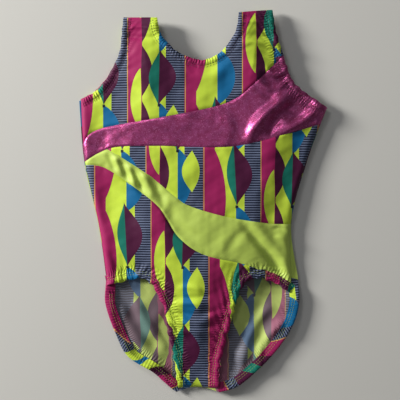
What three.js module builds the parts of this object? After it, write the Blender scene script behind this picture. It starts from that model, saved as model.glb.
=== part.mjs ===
// A child's sleeveless gymnastics leotard, laid flat on its back with a little air in it.
// Millimetres, +Z up. +Y runs to the shoulders, and the origin is on the table under the garment's middle.
// Left and right are as seen from above. Every sewing panel, elastic and seam allowance is its own solid.
import * as THREE from "three";

// Lengths and widths of the laid garment
const bodyLength = 456; // highest shoulder to the lowest point of the leg hems
const chestWidth = 296; // across both underarms
const ribWidth = 264;
const waistWidth = 230;
const hipWidth = 220; // front panel at the hips
const seatWidth = 229; // back panel at the hips, which shows past the front
const shoulderSpan = 176; // outer edge of one strap to the outer edge of the other
const strapWidth = 39;
const neckDrop = 61; // highest shoulder to the bottom of the front neckline
const backNeckDrop = 116; // the same for the scooped back
const armholeDrop = 112; // highest shoulder to the underarms
const crotchWidth = 47;
const liningLength = 95; // up the front from the crotch seam

// Thicknesses and widths of what it is made from
const fabric = 0.8; // knitted nylon and elastane
const elasticWidth = 10;
const elasticThickness = 0.8;
const edgeMargin = 2; // turned edge outside the elastic
const seamWidth = 5; // overlocked seam allowance
const seamThickness = 1.2;
const seamInset = 1; // side edge to its seam allowance

// How it lies
const loft = 11; // how far the front stands up above its joined edges
const sideRound = 50; // width of the rounded flank at each side seam
const strapRound = 80; // length over which a strap comes down to its shoulder seam
const crotchRound = 80;
const clearance = 0.3; // between pieces that lie flat on each other
const drape = 0.7; // between a curved panel and what is sewn under it
const seamGap = 0.25; // half the joint between neighbouring panels
const backShow = 2; // how far the back shows past the front at the left side
const leftStrapDrop = 9; // the left strap lies lower than the right
const strapSlope = 4; // inner corner of a strap below its outer one
const underarmTilt = 5; // the left underarm lies this much higher, and the right this much lower
const neckCentre = -6;
const ribLean = -9; // middle of the body at the ribs, waist and hips
const waistLean = -10;
const hipLean = -5;
const crotchCentre = -5.5;
const crotchRise = 5; // crotch seam above the lowest point of the leg hems

const { lerp, smoothstep } = THREE.MathUtils;
const point = (x, y) => new THREE.Vector2(x, y);
const spline = (points) => new THREE.SplineCurve(points);
const line = (from, to) => new THREE.LineCurve(from, to);

// Levels up the body
const top = bodyLength / 2;
const bottom = -bodyLength / 2;
const underarm = top - armholeDrop;
const torso = (share) => lerp(bottom, underarm, share); // from the leg hems, 0, to the underarms, 1
const ribs = torso(0.8);
const waist = torso(0.587);
const hips = torso(0.4);

// ---- Outline of the garment ----

const leftTip = point(-chestWidth / 2 + backShow, underarm + underarmTilt);
const rightTip = point(chestWidth / 2, underarm - underarmTilt);
const leftHip = point(hipLean - hipWidth / 2, torso(0.372));
const rightHip = point(hipLean + hipWidth / 2 - 1, torso(0.345));

const leftSide = spline([
  leftTip,
  point(ribLean - ribWidth / 2, ribs),
  point(waistLean - waistWidth / 2, waist),
  point(hipLean - hipWidth / 2, hips),
  leftHip,
]);
const rightSide = spline([
  rightTip,
  point(ribLean + ribWidth / 2, ribs),
  point(waistLean + waistWidth / 2, waist),
  point(hipLean + hipWidth / 2, hips),
  rightHip,
]);

const leftOuter = point(neckCentre - shoulderSpan / 2, top - leftStrapDrop);
const leftInner = point(leftOuter.x + strapWidth, leftOuter.y - strapSlope / 4);
const rightOuter = point(neckCentre + shoulderSpan / 2, top);
const rightInner = point(rightOuter.x - strapWidth, top - strapSlope);

// A curve from one corner to another through shares of the way across and up between them.
function between(from, to, shares) {
  const via = shares.map(([across, up]) => point(lerp(from.x, to.x, across), lerp(from.y, to.y, up)));
  return spline([from, ...via, to]);
}

const leftArmhole = between(leftTip, leftOuter, [[0.38, 0.11], [0.67, 0.31], [0.91, 0.57], [0.96, 0.8]]);
const rightArmhole = between(rightTip, rightOuter, [[0.32, 0.12], [0.64, 0.28], [0.82, 0.56], [0.935, 0.77]]);
const bandOnArmhole = 0.6; // where the metallic band's upper seam meets the right armhole

// A neckline from the left strap's inner corner to the right one's, down by its own drop.
function neckline(drop, shares) {
  const middle = point(neckCentre + 5, top - drop);
  const falling = shares.map(([across, down]) => point(
    lerp(leftInner.x, middle.x, across),
    lerp(leftInner.y, middle.y, down),
  ));
  const rising = shares.map(([across, down]) => point(
    lerp(rightInner.x, middle.x, across),
    lerp(rightInner.y, middle.y, down),
  ));
  return spline([leftInner, ...falling, middle, ...rising.reverse(), rightInner]);
}

const frontNeck = neckline(neckDrop, [[0.07, 0.36], [0.24, 0.6], [0.5, 0.84]]);
const backNeck = neckline(backNeckDrop, [[0.03, 0.3], [0.12, 0.6], [0.4, 0.88]]);

const crotchLevel = bottom + crotchRise;
const leftCrotch = point(crotchCentre - crotchWidth / 2, crotchLevel);
const rightCrotch = point(crotchCentre + crotchWidth / 2, crotchLevel);
const crotchEdge = line(leftCrotch, rightCrotch);

const leftLegFront = between(leftHip, leftCrotch, [
  [0.26, -0.04],
  [0.47, -0.067],
  [0.64, 0],
  [0.81, 0.244],
  [0.88, 0.5],
  [0.95, 0.76],
]);
const rightLegFront = between(rightCrotch, rightHip, [
  [0.03, 0.28],
  [0.14, 0.613],
  [0.25, 0.92],
  [0.36, 1.1],
  [0.56, 1.16],
  [0.8, 1.1],
]);

// ---- Outline of the back, which lies on the table ----

const backLeftTip = point(-chestWidth / 2, leftTip.y - backShow);
const backLeftHip = point(leftHip.x - backShow / 2, leftHip.y - 4);
const backRightHip = point(leftHip.x + seatWidth, rightHip.y + 1);
const backLeftSide = spline([
  backLeftTip,
  point(ribLean - ribWidth / 2 - backShow / 2, ribs),
  point(waistLean - waistWidth / 2 - backShow / 4, waist),
  point(leftHip.x - backShow / 2, hips),
  backLeftHip,
]);
const backRightSide = spline([
  rightTip,
  point(ribLean + ribWidth / 2 + backShow / 2, ribs),
  point(waistLean + waistWidth / 2 + backShow / 4, waist),
  point(backRightHip.x - 1, hips),
  backRightHip,
]);
const backLeftArmhole = between(backLeftTip, leftOuter, [[0.34, 0.12], [0.65, 0.31], [0.91, 0.57], [0.96, 0.8]]);
const leftSeat = point(leftCrotch.x - 2, bottom);
const rightSeat = point(rightCrotch.x + 1, bottom);
const leftLegBack = between(backLeftHip, leftSeat, [[0, 0.15], [0.11, 0.38], [0.31, 0.65], [0.65, 0.8], [0.9, 0.95]]);
const rightLegBack = between(rightSeat, backRightHip, [[0.23, 0.06], [0.48, 0.22], [0.75, 0.45], [0.93, 0.68], [1, 0.88]]);
const seatEdge = spline([leftSeat, point(crotchCentre, crotchLevel + 1), rightSeat]);

// ---- Heights ----

// x of an edge at a height, kept at its end past either end.
function acrossAt(curve) {
  const points = curve.getSpacedPoints(120).sort((p, q) => q.y - p.y);
  return (y) => {
    const next = points.findIndex((p) => p.y <= y);
    if (next === 0) return points[0].x;
    if (next < 0) return points.at(-1).x;
    const [a, b] = [points[next - 1], points[next]];
    return lerp(a.x, b.x, (a.y - y) / (a.y - b.y));
  };
}
const leftX = acrossAt(leftSide);
const rightX = acrossAt(rightSide);
const backLeftX = acrossAt(backLeftSide);
const backRightX = acrossAt(backRightSide);

// Underside of the front where it is joined: room for both layers of elastic.
const joined = fabric + clearance + drape + drape + 2 * elasticThickness;
const rounded = (distance, over) => smoothstep(distance / over, 0, 1);

function frontHeight(x, y) {
  const fromSides = Math.min(x - leftX(y), rightX(y) - x);
  const fromShoulder = (x < neckCentre ? leftOuter.y : rightOuter.y) - y;
  const fromCrotch = y - crotchLevel;
  const rise = rounded(fromSides, sideRound) * rounded(fromShoulder, strapRound) * rounded(fromCrotch, crotchRound);
  return joined + loft * rise;
}
const backHeight = () => 0;

// ---- Seams across the body, as shares of the width and of the height up the torso ----

function seam(leftShare, via, right, xLeft, xRight) {
  const leftEnd = point(xLeft(torso(leftShare)), torso(leftShare));
  const middle = via.map(([across, up]) => {
    const y = torso(up);
    return point(lerp(xLeft(y), xRight(y), across), y);
  });
  const rightEnd = right instanceof THREE.Vector2 ? right : point(xRight(torso(right)), torso(right));
  return spline([leftEnd, ...middle, rightEnd]);
}
const frontSeam = (left, via, right) => seam(left, via, right, leftX, rightX);
const backSeam = (left, via, right) => seam(left, via, right, backLeftX, backRightX);

const metallicUpper = frontSeam(
  0.865,
  [[0.07, 0.912], [0.31, 0.948], [0.52, 0.984], [0.62, 1.013], [0.7, 1.065]],
  rightArmhole.getPointAt(bandOnArmhole),
);
const metallicLower = frontSeam(0.8, [[0.07, 0.831], [0.15, 0.85], [0.33, 0.853], [0.64, 0.85], [0.86, 0.892]], 0.93);
const limeUpper = frontSeam(
  0.87,
  [[0.108, 0.841], [0.286, 0.753], [0.411, 0.676], [0.48, 0.645], [0.66, 0.609], [0.876, 0.586]],
  0.583,
);
const limeLower = frontSeam(
  0.788,
  [[0.09, 0.777], [0.237, 0.697], [0.32, 0.644], [0.36, 0.598], [0.416, 0.535], [0.537, 0.478], [0.78, 0.438]],
  0.37,
);
const backMetallicUpper = backSeam(0.865, [[0.5, 0.93]], 0.97);
const backMetallicLower = backSeam(0.8, [[0.5, 0.865]], 0.92);
const backLimeUpper = backSeam(0.788, [[0.3, 0.7], [0.55, 0.625], [0.8, 0.59]], 0.583);
const backLimeLower = backSeam(0.775, [[0.25, 0.67], [0.45, 0.53], [0.6, 0.465], [0.8, 0.43]], 0.39);

// y of a seam at an x.
function upAt(curve) {
  const points = curve.getSpacedPoints(200);
  return (x) => {
    const next = Math.max(1, points.findIndex((p) => p.x >= x));
    const [a, b] = [points[next - 1], points[next]];
    return lerp(a.y, b.y, (x - a.x) / (b.x - a.x));
  };
}

// The lime band's upper seam runs under the metallic band's lower one until they part.
const metallicLowerY = upAt(metallicLower);
const finely = Array.from({ length: 201 }, (_, i) => i / 200);
const parting = finely.find((s) => {
  const p = limeUpper.getPointAt(s);
  return p.x > metallicLower.points[0].x && p.y < metallicLowerY(p.x);
});
const partingX = limeUpper.getPointAt(parting).x;

// ---- Points along the edges of the panels ----

// Points along a run of curves: each part is [curve, steps] or [curve, steps, from, to].
function run(...parts) {
  return parts.flatMap(([curve, steps, from = 0, to = 1], i) => {
    const shares = Array.from({ length: steps + 1 }, (_, k) => lerp(from, to, k / steps));
    return shares.slice(i ? 1 : 0).map((s) => curve.getPointAt(s));
  });
}

const reversed = (curve) => ({
  getPointAt: (s) => curve.getPointAt(1 - s),
  getTangentAt: (s) => curve.getTangentAt(1 - s).negate(),
});

// Points along a seam, with a number of steps up to each corner's x and on to its end.
function matched(curve, corners, steps) {
  const shares = [0, ...corners.map((x) => finely.find((s) => curve.getPointAt(s).x >= x)), 1];
  return run(...steps.map((n, i) => [curve, n, shares[i], shares[i + 1]]));
}

// Both panels at a seam are built on the same points of it.
const strapCorners = (outer, inner) => [
  leftOuter.x + outer,
  leftInner.x - inner,
  rightInner.x + 1.5 * inner,
  rightOuter.x - outer,
];
const yokeSteps = [7, 3, 14, 3, 4]; // left armhole, strap, neck, strap, right armhole down to the band
const underarmSteps = 8; // the metallic band's end, on the right armhole
const tipSteps = 2; // where the lime band is against the metallic one
const hipSteps = [4, 10, 4, 11, 8]; // after that tip: left arch, left inner, crotch, right inner, right arch
const acrossSteps = yokeSteps.reduce((a, b) => a + b) - tipSteps;
const metallicUpperPoints = matched(metallicUpper, strapCorners(8, 8), yokeSteps);
const metallicLowerPoints = matched(
  metallicLower,
  [partingX, metallicUpper.points.at(-1).x - 6],
  [tipSteps, acrossSteps, underarmSteps],
);
const limeUpperPoints = run([limeUpper, acrossSteps + underarmSteps, parting, 1]);
const limeLowerPoints = matched(
  limeLower,
  [partingX, leftHip.x + 45, leftCrotch.x - 10, rightCrotch.x - 8, rightCrotch.x + 20],
  [tipSteps, ...hipSteps],
);

const backYokeSteps = [7, 2, 12, 2, 7];
const seatSteps = [12, 4, 14];
const backMetallicUpperPoints = matched(backMetallicUpper, strapCorners(8, 20), backYokeSteps);
const backMetallicLowerPoints = run([backMetallicLower, 30]);
const backLimeUpperPoints = run([backLimeUpper, 30]);
const backLimeLowerPoints = matched(backLimeLower, [leftSeat.x - 12, rightSeat.x], seatSteps);

// ---- Panels ----

// A grid of points between four edges, each given from left to right or from bottom to top.
function patch(lower, upper, left, right) {
  const columns = lower.length - 1;
  const rows = left.length - 1;
  return left.map((_, j) => lower.map((_, i) => {
    const [u, v] = [i / columns, j / rows];
    const mix = (axis) => {
      const corners = lerp(
        lerp(lower[0][axis], lower[columns][axis], u),
        lerp(upper[0][axis], upper[columns][axis], u),
        v,
      );
      return lerp(lower[i][axis], upper[i][axis], v) + lerp(left[j][axis], right[j][axis], u) - corners;
    };
    return point(mix("x"), mix("y"));
  }));
}

// A grid of points closed into a sheet whose underside is at the given height.
function sheet(grid, height, thickness) {
  const rows = grid.length;
  const columns = grid[0].length;
  const position = [0, thickness].flatMap((lift) => grid.flat().flatMap((p) => [p.x, p.y, height(p.x, p.y) + lift]));
  const at = (layer, j, i) => (layer * rows + j) * columns + i;
  const index = [];
  const quad = (a, b, c, d) => index.push(a, b, c, a, c, d);
  for (let j = 0; j < rows - 1; j++) {
    for (let i = 0; i < columns - 1; i++) {
      quad(at(1, j, i), at(1, j, i + 1), at(1, j + 1, i + 1), at(1, j + 1, i));
      quad(at(0, j, i), at(0, j + 1, i), at(0, j + 1, i + 1), at(0, j, i + 1));
    }
    quad(at(0, j, columns - 1), at(0, j + 1, columns - 1), at(1, j + 1, columns - 1), at(1, j, columns - 1));
    quad(at(0, j + 1, 0), at(0, j, 0), at(1, j, 0), at(1, j + 1, 0));
  }
  for (let i = 0; i < columns - 1; i++) {
    quad(at(0, 0, i), at(0, 0, i + 1), at(1, 0, i + 1), at(1, 0, i));
    quad(at(0, rows - 1, i + 1), at(0, rows - 1, i), at(1, rows - 1, i), at(1, rows - 1, i + 1));
  }
  const geometry = new THREE.BufferGeometry();
  geometry.setAttribute("position", new THREE.Float32BufferAttribute(position, 3));
  geometry.setIndex(index);
  return geometry;
}

// An edge in even steps of height from a lower point to an upper one, along an edge of the body.
function upEdge(from, to, xAt, rows) {
  return Array.from({ length: rows + 1 }, (_, j) => {
    const y = lerp(from.y, to.y, j / rows);
    return point(xAt(y), y);
  }).with(0, from).with(rows, to);
}
const shifted = (points, dy) => points.map((p) => point(p.x, p.y + dy));

// A panel between a lower and an upper line of points, each set back from its seam.
function panel(lower, upper, rows, xLeft, xRight, height) {
  const [low, high] = [shifted(lower, seamGap), shifted(upper, -seamGap)];
  const left = upEdge(low[0], high[0], xLeft, rows);
  const right = upEdge(low.at(-1), high.at(-1), xRight, rows);
  return sheet(patch(low, high, left, right), height, fabric);
}
const frontPanel = (lower, upper, rows) => panel(lower, upper, rows, leftX, rightX, frontHeight);
const backPanel = (lower, upper, rows) => panel(lower, upper, rows, backLeftX, backRightX, backHeight);

// The upper edge of a yoke: armhole, strap, neck, strap and armhole again, down to a share of it.
function yokeTop(armhole, neck, steps, rightEnd) {
  return run(
    [armhole, steps[0]],
    [line(leftOuter, leftInner), steps[1]],
    [neck, steps[2]],
    [line(rightInner, rightOuter), steps[3]],
    [reversed(rightArmhole), steps[4], 0, 1 - rightEnd],
  );
}

function frontYoke() {
  const [low, high] = [
    shifted(metallicUpperPoints, seamGap),
    shifted(yokeTop(leftArmhole, frontNeck, yokeSteps, bandOnArmhole + 0.06), -seamGap),
  ];
  const rows = 9;
  const right = run([line(low.at(-1), high.at(-1)), rows]);
  return sheet(patch(low, high, upEdge(low[0], high[0], leftX, rows), right), frontHeight, fabric);
}

function backYoke() {
  return backPanel(backMetallicUpperPoints, yokeTop(backLeftArmhole, backNeck, backYokeSteps, 0), 5);
}

function frontMetallicBand() {
  const underarmEdge = run([reversed(rightArmhole), underarmSteps, 1 - bandOnArmhole, 1]);
  const upper = [...metallicUpperPoints, ...underarmEdge.slice(1)];
  return frontPanel(metallicLowerPoints, upper, 7);
}

// The waist panel starts just after the two bands part.
function frontWaistPanel() {
  const [lower, upper] = [limeUpperPoints, metallicLowerPoints.slice(tipSteps)];
  const started = ([first, second, ...rest]) => [first.clone().lerp(second, 0.2), second, ...rest];
  const [low, high] = [shifted(started(lower), seamGap), shifted(started(upper), -seamGap)];
  const left = run([line(low[0], high[0]), 6]);
  const right = upEdge(low.at(-1), high.at(-1), rightX, 6);
  return sheet(patch(low, high, left, right), frontHeight, fabric);
}

function frontLimeBand() {
  const upper = [...metallicLowerPoints.slice(0, tipSteps), ...limeUpperPoints];
  return frontPanel(limeLowerPoints, upper, 4);
}

function frontHipPanel() {
  const [leftArch, leftInner, crotch, rightInner, rightArch] = hipSteps;
  const lower = run(
    [leftLegFront, tipSteps + leftArch, 0, 0.3],
    [leftLegFront, leftInner, 0.3, 1],
    [crotchEdge, crotch],
    [rightLegFront, rightInner, 0, 0.62],
    [rightLegFront, rightArch, 0.62, 1],
  );
  return frontPanel(lower, limeLowerPoints, 12);
}

// The seat's side edges run on round the hips, to where its leg hems turn inwards.
function backSeatPanel() {
  const round = 0.25;
  const lower = run(
    [leftLegBack, seatSteps[0], round, 1],
    [seatEdge, seatSteps[1]],
    [rightLegBack, seatSteps[2], 0, 1 - round],
  );
  const [leftLegX, rightLegX] = [acrossAt(leftLegBack), acrossAt(rightLegBack)];
  const leftEdgeX = (y) => (y < backLeftHip.y ? leftLegX(y) : backLeftX(y));
  const rightEdgeX = (y) => (y < backRightHip.y ? rightLegX(y) : backRightX(y));
  return panel(lower, backLimeLowerPoints, 8, leftEdgeX, rightEdgeX, backHeight);
}

// ---- Seam allowances inside the garment ----

// The longest stretch of a curve that stays clear of others: each other is [curve, distance].
function clearStretch(curve, others) {
  const obstacles = others.map(([other, distance]) => [other.getSpacedPoints(120), distance]);
  const clear = curve.getSpacedPoints(200).map((p) => obstacles.every(([points, distance]) =>
    points.every((q) => p.distanceTo(q) > distance)));
  let best = [0, 0];
  let start = null;
  [...clear, false].forEach((ok, i) => {
    if (ok && start === null) start = i;
    if (!ok && start !== null) {
      if (i - 1 - start > best[1] - best[0]) best = [start, i - 1];
      start = null;
    }
  });
  return best.map((i) => i / 200);
}

// Two lines of points to the left and right of a curve, from one share to another.
function ribbon(curve, from, to, near, far, steps) {
  const shares = Array.from({ length: steps + 1 }, (_, k) => lerp(from, to, k / steps));
  const beside = (offset) => shares.map((s) => {
    const tangent = curve.getTangentAt(s);
    return curve.getPointAt(s).add(point(-tangent.y, tangent.x).multiplyScalar(offset));
  });
  return [beside(near), beside(far)];
}

const hemDepth = edgeMargin + elasticWidth;
const fromHem = hemDepth + seamWidth / 2 + 1;
const fromSide = seamInset + 1.5 * seamWidth + 1;
const fromSeam = seamWidth + 1;
const half = seamWidth / 2;

function frontAllowance(curve, others) {
  const [from, to] = clearStretch(curve, others);
  const low = (x, y) => frontHeight(x, y) - drape - seamThickness;
  return sheet(ribbon(curve, from, to, -half, half, 22), low, seamThickness);
}
function backAllowance(curve, others) {
  const [from, to] = clearStretch(curve, others);
  return sheet(ribbon(curve, from, to, -half, half, 14), () => fabric + clearance, seamThickness);
}
const sides = [[leftSide, fromSide], [rightSide, fromSide]];
const hems = [[leftArmhole, fromHem], [rightArmhole, fromHem], [leftLegFront, fromHem], [rightLegFront, fromHem]];
const backSides = [...sides, [backLeftSide, fromSide], [backRightSide, fromSide]];

// A side seam's allowance fills the fold between the layers, clear of the hems at both its ends.
function sideAllowance(curve, inward, edges) {
  const [from, to] = clearStretch(curve, edges.map((edge) => [edge, hemDepth + seamInset + seamWidth]));
  const offsets = [inward * (seamInset + seamWidth), inward * seamInset].sort((a, b) => a - b);
  return sheet(ribbon(curve, from, to, ...offsets, 12), () => fabric + clearance, joined - drape - fabric - clearance);
}

// A shoulder seam's allowance lies across the strap between its two elastics.
function shoulderAllowance(outer, inner) {
  const middle = line(outer, inner);
  const share = (hemDepth + 1) / middle.getLength();
  const [near, far] = [-seamInset - seamWidth, -seamInset];
  const across = outer.x < inner.x ? middle : line(inner, outer);
  const strip = ribbon(across, share, 1 - share, near, far, 2);
  return sheet(strip, () => fabric + clearance, joined - drape - fabric - clearance);
}

function crotchAllowance() {
  const share = (hemDepth + 2) / crotchEdge.getLength();
  const strip = ribbon(crotchEdge, share, 1 - share, seamInset, seamInset + seamWidth, 2);
  const room = joined - drape - fabric - clearance; // under the lining
  return sheet(strip, () => fabric + clearance, room - fabric - clearance);
}

// The lining lies inside the front between the two leg elastics, below the tops of the leg openings.
function crotchLining() {
  const rows = 12;
  const reach = hemDepth + 1.5;
  const legs = [leftLegFront, rightLegFront].map((curve) => curve.getSpacedPoints(160));
  const arch = Math.min(...legs.map((points) => Math.max(...points.map((p) => p.y)))) - crotchLevel;
  const length = Math.min(liningLength, arch - reach);
  const clearOf = (points, y, side) => {
    const near = points.filter((p) => Math.abs(p.y - y) < reach);
    return side * Math.max(...near.map((p) => side * p.x + Math.sqrt(reach ** 2 - (p.y - y) ** 2)));
  };
  const grid = Array.from({ length: rows + 1 }, (_, j) => {
    const y = crotchLevel + seamInset + (length * j) / rows;
    const [left, right] = [clearOf(legs[0], y, 1), clearOf(legs[1], y, -1)];
    return Array.from({ length: 5 }, (_, i) => point(lerp(left, right, i / 4), y));
  });
  return sheet(grid, (x, y) => frontHeight(x, y) - drape - fabric, fabric);
}

// ---- Elastics in the turned hems ----

// Stations along a hem: a point of the edge, the way along it, and the way into the fabric on the given side.
function hemLine(curve, from, to, steps, side) {
  return Array.from({ length: steps + 1 }, (_, k) => {
    const s = lerp(from, to, k / steps);
    const along = curve.getTangentAt(s);
    return { edge: curve.getPointAt(s), along, inward: point(-along.y, along.x).multiplyScalar(side) };
  });
}

// A closed band of elastic: along the front hem, round a fold, back along the back hem and round the other fold.
// Both hems are given with the fabric on their left; the shares are what each leaves free at its ends.
function elasticRing(frontHem, backHem, frontFree, backFree, steps) {
  const front = hemLine(frontHem, frontFree, 1 - frontFree, steps, 1);
  const back = hemLine(reversed(backHem), backFree, 1 - backFree, steps, -1);
  const over = (x, y) => frontHeight(x, y) - drape;
  const under = (x, y) => over(x, y) - elasticThickness;
  const low = () => fabric + clearance;
  const high = () => fabric + clearance + elasticThickness;
  const corner = (station, depth, shift, z) => {
    const p = station.edge.clone().addScaledVector(station.inward, depth).addScaledVector(station.along, shift);
    return [p.x, p.y, z(p.x, p.y)];
  };
  const section = (station, shiftOut, shiftIn, zOut, zIn) => [
    corner(station, edgeMargin, shiftOut, zOut),
    corner(station, edgeMargin, shiftIn, zIn),
    corner(station, hemDepth, shiftIn, zIn),
    corner(station, hemDepth, shiftOut, zOut),
  ];
  const fold = (station, direction) => {
    const mid = corner(station, hemDepth / 2, 0, under);
    const gap = (mid[2] - high()) / 2;
    const level = () => high() + gap;
    return section(station, direction * (gap + elasticThickness), direction * gap, level, level);
  };
  // After a fold the band turns about its outer corner to the direction of the back hem.
  const bends = (from, to) => (from.inward.angleTo(to.inward) > 0.3 ? [0, 0.5, 1] : [0]);
  const turn = (from, to) => bends(from, to).map((share) => {
    const inward = from.inward.clone().lerp(to.inward, share).normalize();
    const pivot = from.edge.clone().addScaledVector(from.inward, edgeMargin);
    const edge = pivot.addScaledVector(inward, -edgeMargin);
    return section({ edge, along: from.along, inward }, 0, 0, low, high);
  });
  const sections = [
    ...front.map((station) => section(station, 0, 0, over, under)),
    fold(front.at(-1), 1),
    ...turn(front.at(-1), back[0]),
    ...back.map((station) => section(station, 0, 0, low, high)),
    ...turn(front[0], back.at(-1)).reverse(),
    fold(front[0], -1),
  ];
  const corners = sections.flat().map((p) => new THREE.Vector3(...p));
  const index = [];
  for (let k = 0; k < sections.length; k++) {
    const next = (k + 1) % sections.length;
    for (let c = 0; c < 4; c++) {
      const [a, b, d, e] = [4 * k + c, 4 * k + ((c + 1) % 4), 4 * next + c, 4 * next + ((c + 1) % 4)];
      const shorter = corners[a].distanceTo(corners[e]) < corners[b].distanceTo(corners[d]);
      index.push(...(shorter ? [a, b, e, a, e, d] : [a, b, d, b, e, d]));
    }
  }
  const geometry = new THREE.BufferGeometry().setFromPoints(corners);
  geometry.setIndex(index);
  return geometry;
}

// ---- Materials and the assembled garment ----

const finish = (color, roughness, metalness = 0) => new THREE.MeshStandardMaterial({ color, roughness, metalness });
const print = finish(0x8a1a5c, 0.6);
const foil = finish(0x9c2f6e, 0.35, 0.4);
const lime = finish(0xb9d84a, 0.7);
const lining = finish(0xd9d6cf, 0.8);
const rubber = finish(0xe6e2d6, 0.7);
const thread = finish(0xa8c43c, 0.8);

const garment = new THREE.Group();
function add(name, geometry, material) {
  const mesh = new THREE.Mesh(geometry, material);
  mesh.name = name;
  garment.add(mesh);
}

add("front_yoke", frontYoke(), print);
add("front_metallic_band", frontMetallicBand(), foil);
add("front_waist_panel", frontWaistPanel(), print);
add("front_lime_band", frontLimeBand(), lime);
add("front_hip_panel", frontHipPanel(), print);
add("back_yoke", backYoke(), print);
add("back_metallic_band", backPanel(backMetallicLowerPoints, backMetallicUpperPoints, 2), foil);
add("back_waist_panel", backPanel(backLimeUpperPoints, backMetallicLowerPoints, 3), print);
add("back_lime_band", backPanel(backLimeLowerPoints, backLimeUpperPoints, 3), lime);
add("back_seat_panel", backSeatPanel(), print);
add("crotch_lining", crotchLining(), lining);

add("neck_elastic", elasticRing(reversed(frontNeck), reversed(backNeck), 0.025, 0.04, 22), rubber);
add("left_armhole_elastic", elasticRing(reversed(leftArmhole), reversed(backLeftArmhole), 0.05, 0.09, 14), rubber);
add("right_armhole_elastic", elasticRing(rightArmhole, rightArmhole, 0.05, 0.09, 14), rubber);
add("left_leg_elastic", elasticRing(leftLegFront, leftLegBack, 0.035, 0.1, 20), rubber);
add("right_leg_elastic", elasticRing(rightLegFront, rightLegBack, 0.035, 0.1, 20), rubber);

add("left_side_seam", sideAllowance(leftSide, 1, [leftArmhole, leftLegFront]), thread);
add("right_side_seam", sideAllowance(rightSide, -1, [rightArmhole, rightLegFront]), thread);
add("left_shoulder_seam", shoulderAllowance(leftOuter, leftInner), thread);
add("right_shoulder_seam", shoulderAllowance(rightOuter, rightInner), thread);
add("crotch_seam", crotchAllowance(), thread);
add("front_metallic_upper_seam", frontAllowance(metallicUpper, [...sides, ...hems]), thread);
add("front_metallic_lower_seam", frontAllowance(metallicLower, [...sides, ...hems]), thread);
add("front_lime_upper_seam", frontAllowance(limeUpper, [...sides, ...hems, [metallicLower, fromSeam]]), thread);
add("front_lime_lower_seam", frontAllowance(limeLower, [...sides, ...hems, [metallicLower, fromSeam]]), thread);
add("back_metallic_upper_seam", backAllowance(backMetallicUpper, [...backSides, [rightArmhole, fromHem]]), thread);
add("back_metallic_lower_seam", backAllowance(backMetallicLower, backSides), thread);
add("back_lime_upper_seam", backAllowance(backLimeUpper, [...backSides, [backMetallicLower, fromSeam]]), thread);
add("back_lime_lower_seam", backAllowance(backLimeLower, [...backSides, [backLimeUpper, fromSeam]]), thread);

export default garment;
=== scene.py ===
import math
import bmesh
import bpy
import numpy as np
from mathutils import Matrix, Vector


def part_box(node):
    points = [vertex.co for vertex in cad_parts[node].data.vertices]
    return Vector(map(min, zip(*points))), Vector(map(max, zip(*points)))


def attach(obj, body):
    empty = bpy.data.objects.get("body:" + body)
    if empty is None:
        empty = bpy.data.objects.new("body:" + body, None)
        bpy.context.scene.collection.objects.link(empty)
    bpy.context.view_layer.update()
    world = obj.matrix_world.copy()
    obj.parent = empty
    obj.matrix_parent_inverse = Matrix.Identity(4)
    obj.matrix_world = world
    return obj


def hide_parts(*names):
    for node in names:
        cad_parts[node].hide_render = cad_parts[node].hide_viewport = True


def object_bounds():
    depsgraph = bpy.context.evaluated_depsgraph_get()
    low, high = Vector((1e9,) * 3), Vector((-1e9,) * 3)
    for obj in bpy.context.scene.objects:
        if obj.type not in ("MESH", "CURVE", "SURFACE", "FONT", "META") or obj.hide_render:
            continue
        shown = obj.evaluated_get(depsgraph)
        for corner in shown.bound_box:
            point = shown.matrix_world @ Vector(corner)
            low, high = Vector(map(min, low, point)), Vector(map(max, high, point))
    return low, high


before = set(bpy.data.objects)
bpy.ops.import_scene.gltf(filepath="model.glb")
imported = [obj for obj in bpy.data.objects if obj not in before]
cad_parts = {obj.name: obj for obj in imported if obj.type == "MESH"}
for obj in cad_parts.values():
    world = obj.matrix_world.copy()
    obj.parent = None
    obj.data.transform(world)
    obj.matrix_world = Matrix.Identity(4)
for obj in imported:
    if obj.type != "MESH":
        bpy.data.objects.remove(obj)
cadLow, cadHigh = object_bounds()
metre = 1000.0  # garment sizes below are in millimetres, meshes are in metres

# Driving sizes of the laid garment, those of the frame read from it
body = {
    "top": cadHigh[1] * metre,
    "bottom": cadLow[1] * metre,
    "chestWidth": (cadHigh[0] - cadLow[0]) * metre,
    "ribWidth": 264,
    "waistWidth": 230,
    "hipWidth": 220,
    "seatWidth": 229,
    "shoulderSpan": 176,
    "strapWidth": 39,
    "neckDrop": 61,
    "backNeckDrop": 116,
    "armholeDrop": 112,
    "crotchWidth": 47,
    "leftStrapDrop": 9,
    "strapSlope": 4,
    "underarmTilt": 5,
    "backShow": 2,
    "neckCentre": -6,
    "ribLean": -9,
    "waistLean": -10,
    "hipLean": -5,
    "crotchCentre": -5.5,
    "crotchRise": 5,
    "bandOnArmhole": 0.6,
}


# curves, as arrays of points in millimetres

def through(points, perSpan=40):
    # uniform Catmull-Rom through the points; the end spans repeat or look past the last point
    p = np.asarray(points, float)
    t = np.linspace(0, len(p) - 1, (len(p) - 1) * perSpan + 1)
    i = np.minimum(t.astype(int), len(p) - 2)
    w = (t - i)[:, None]
    p0, p1 = p[np.maximum(i - 1, 0)], p[i]
    p2, p3 = p[i + 1], p[np.minimum(i + 2, len(p) - 1)]
    v0, v1 = (p2 - p0) / 2, (p3 - p1) / 2
    return (2 * p1 - 2 * p2 + v0 + v1) * w**3 + (-3 * p1 + 3 * p2 - 2 * v0 - v1) * w**2 + v0 * w + p1


def line(a, b, count=2):
    # even points on the straight line from a to b
    return np.linspace(a, b, count)


def lengths(curve):
    # running length at each point: the sum of the steps before it
    return np.concatenate([[0], np.cumsum(np.hypot(*np.diff(curve, axis=0).T))])


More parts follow.
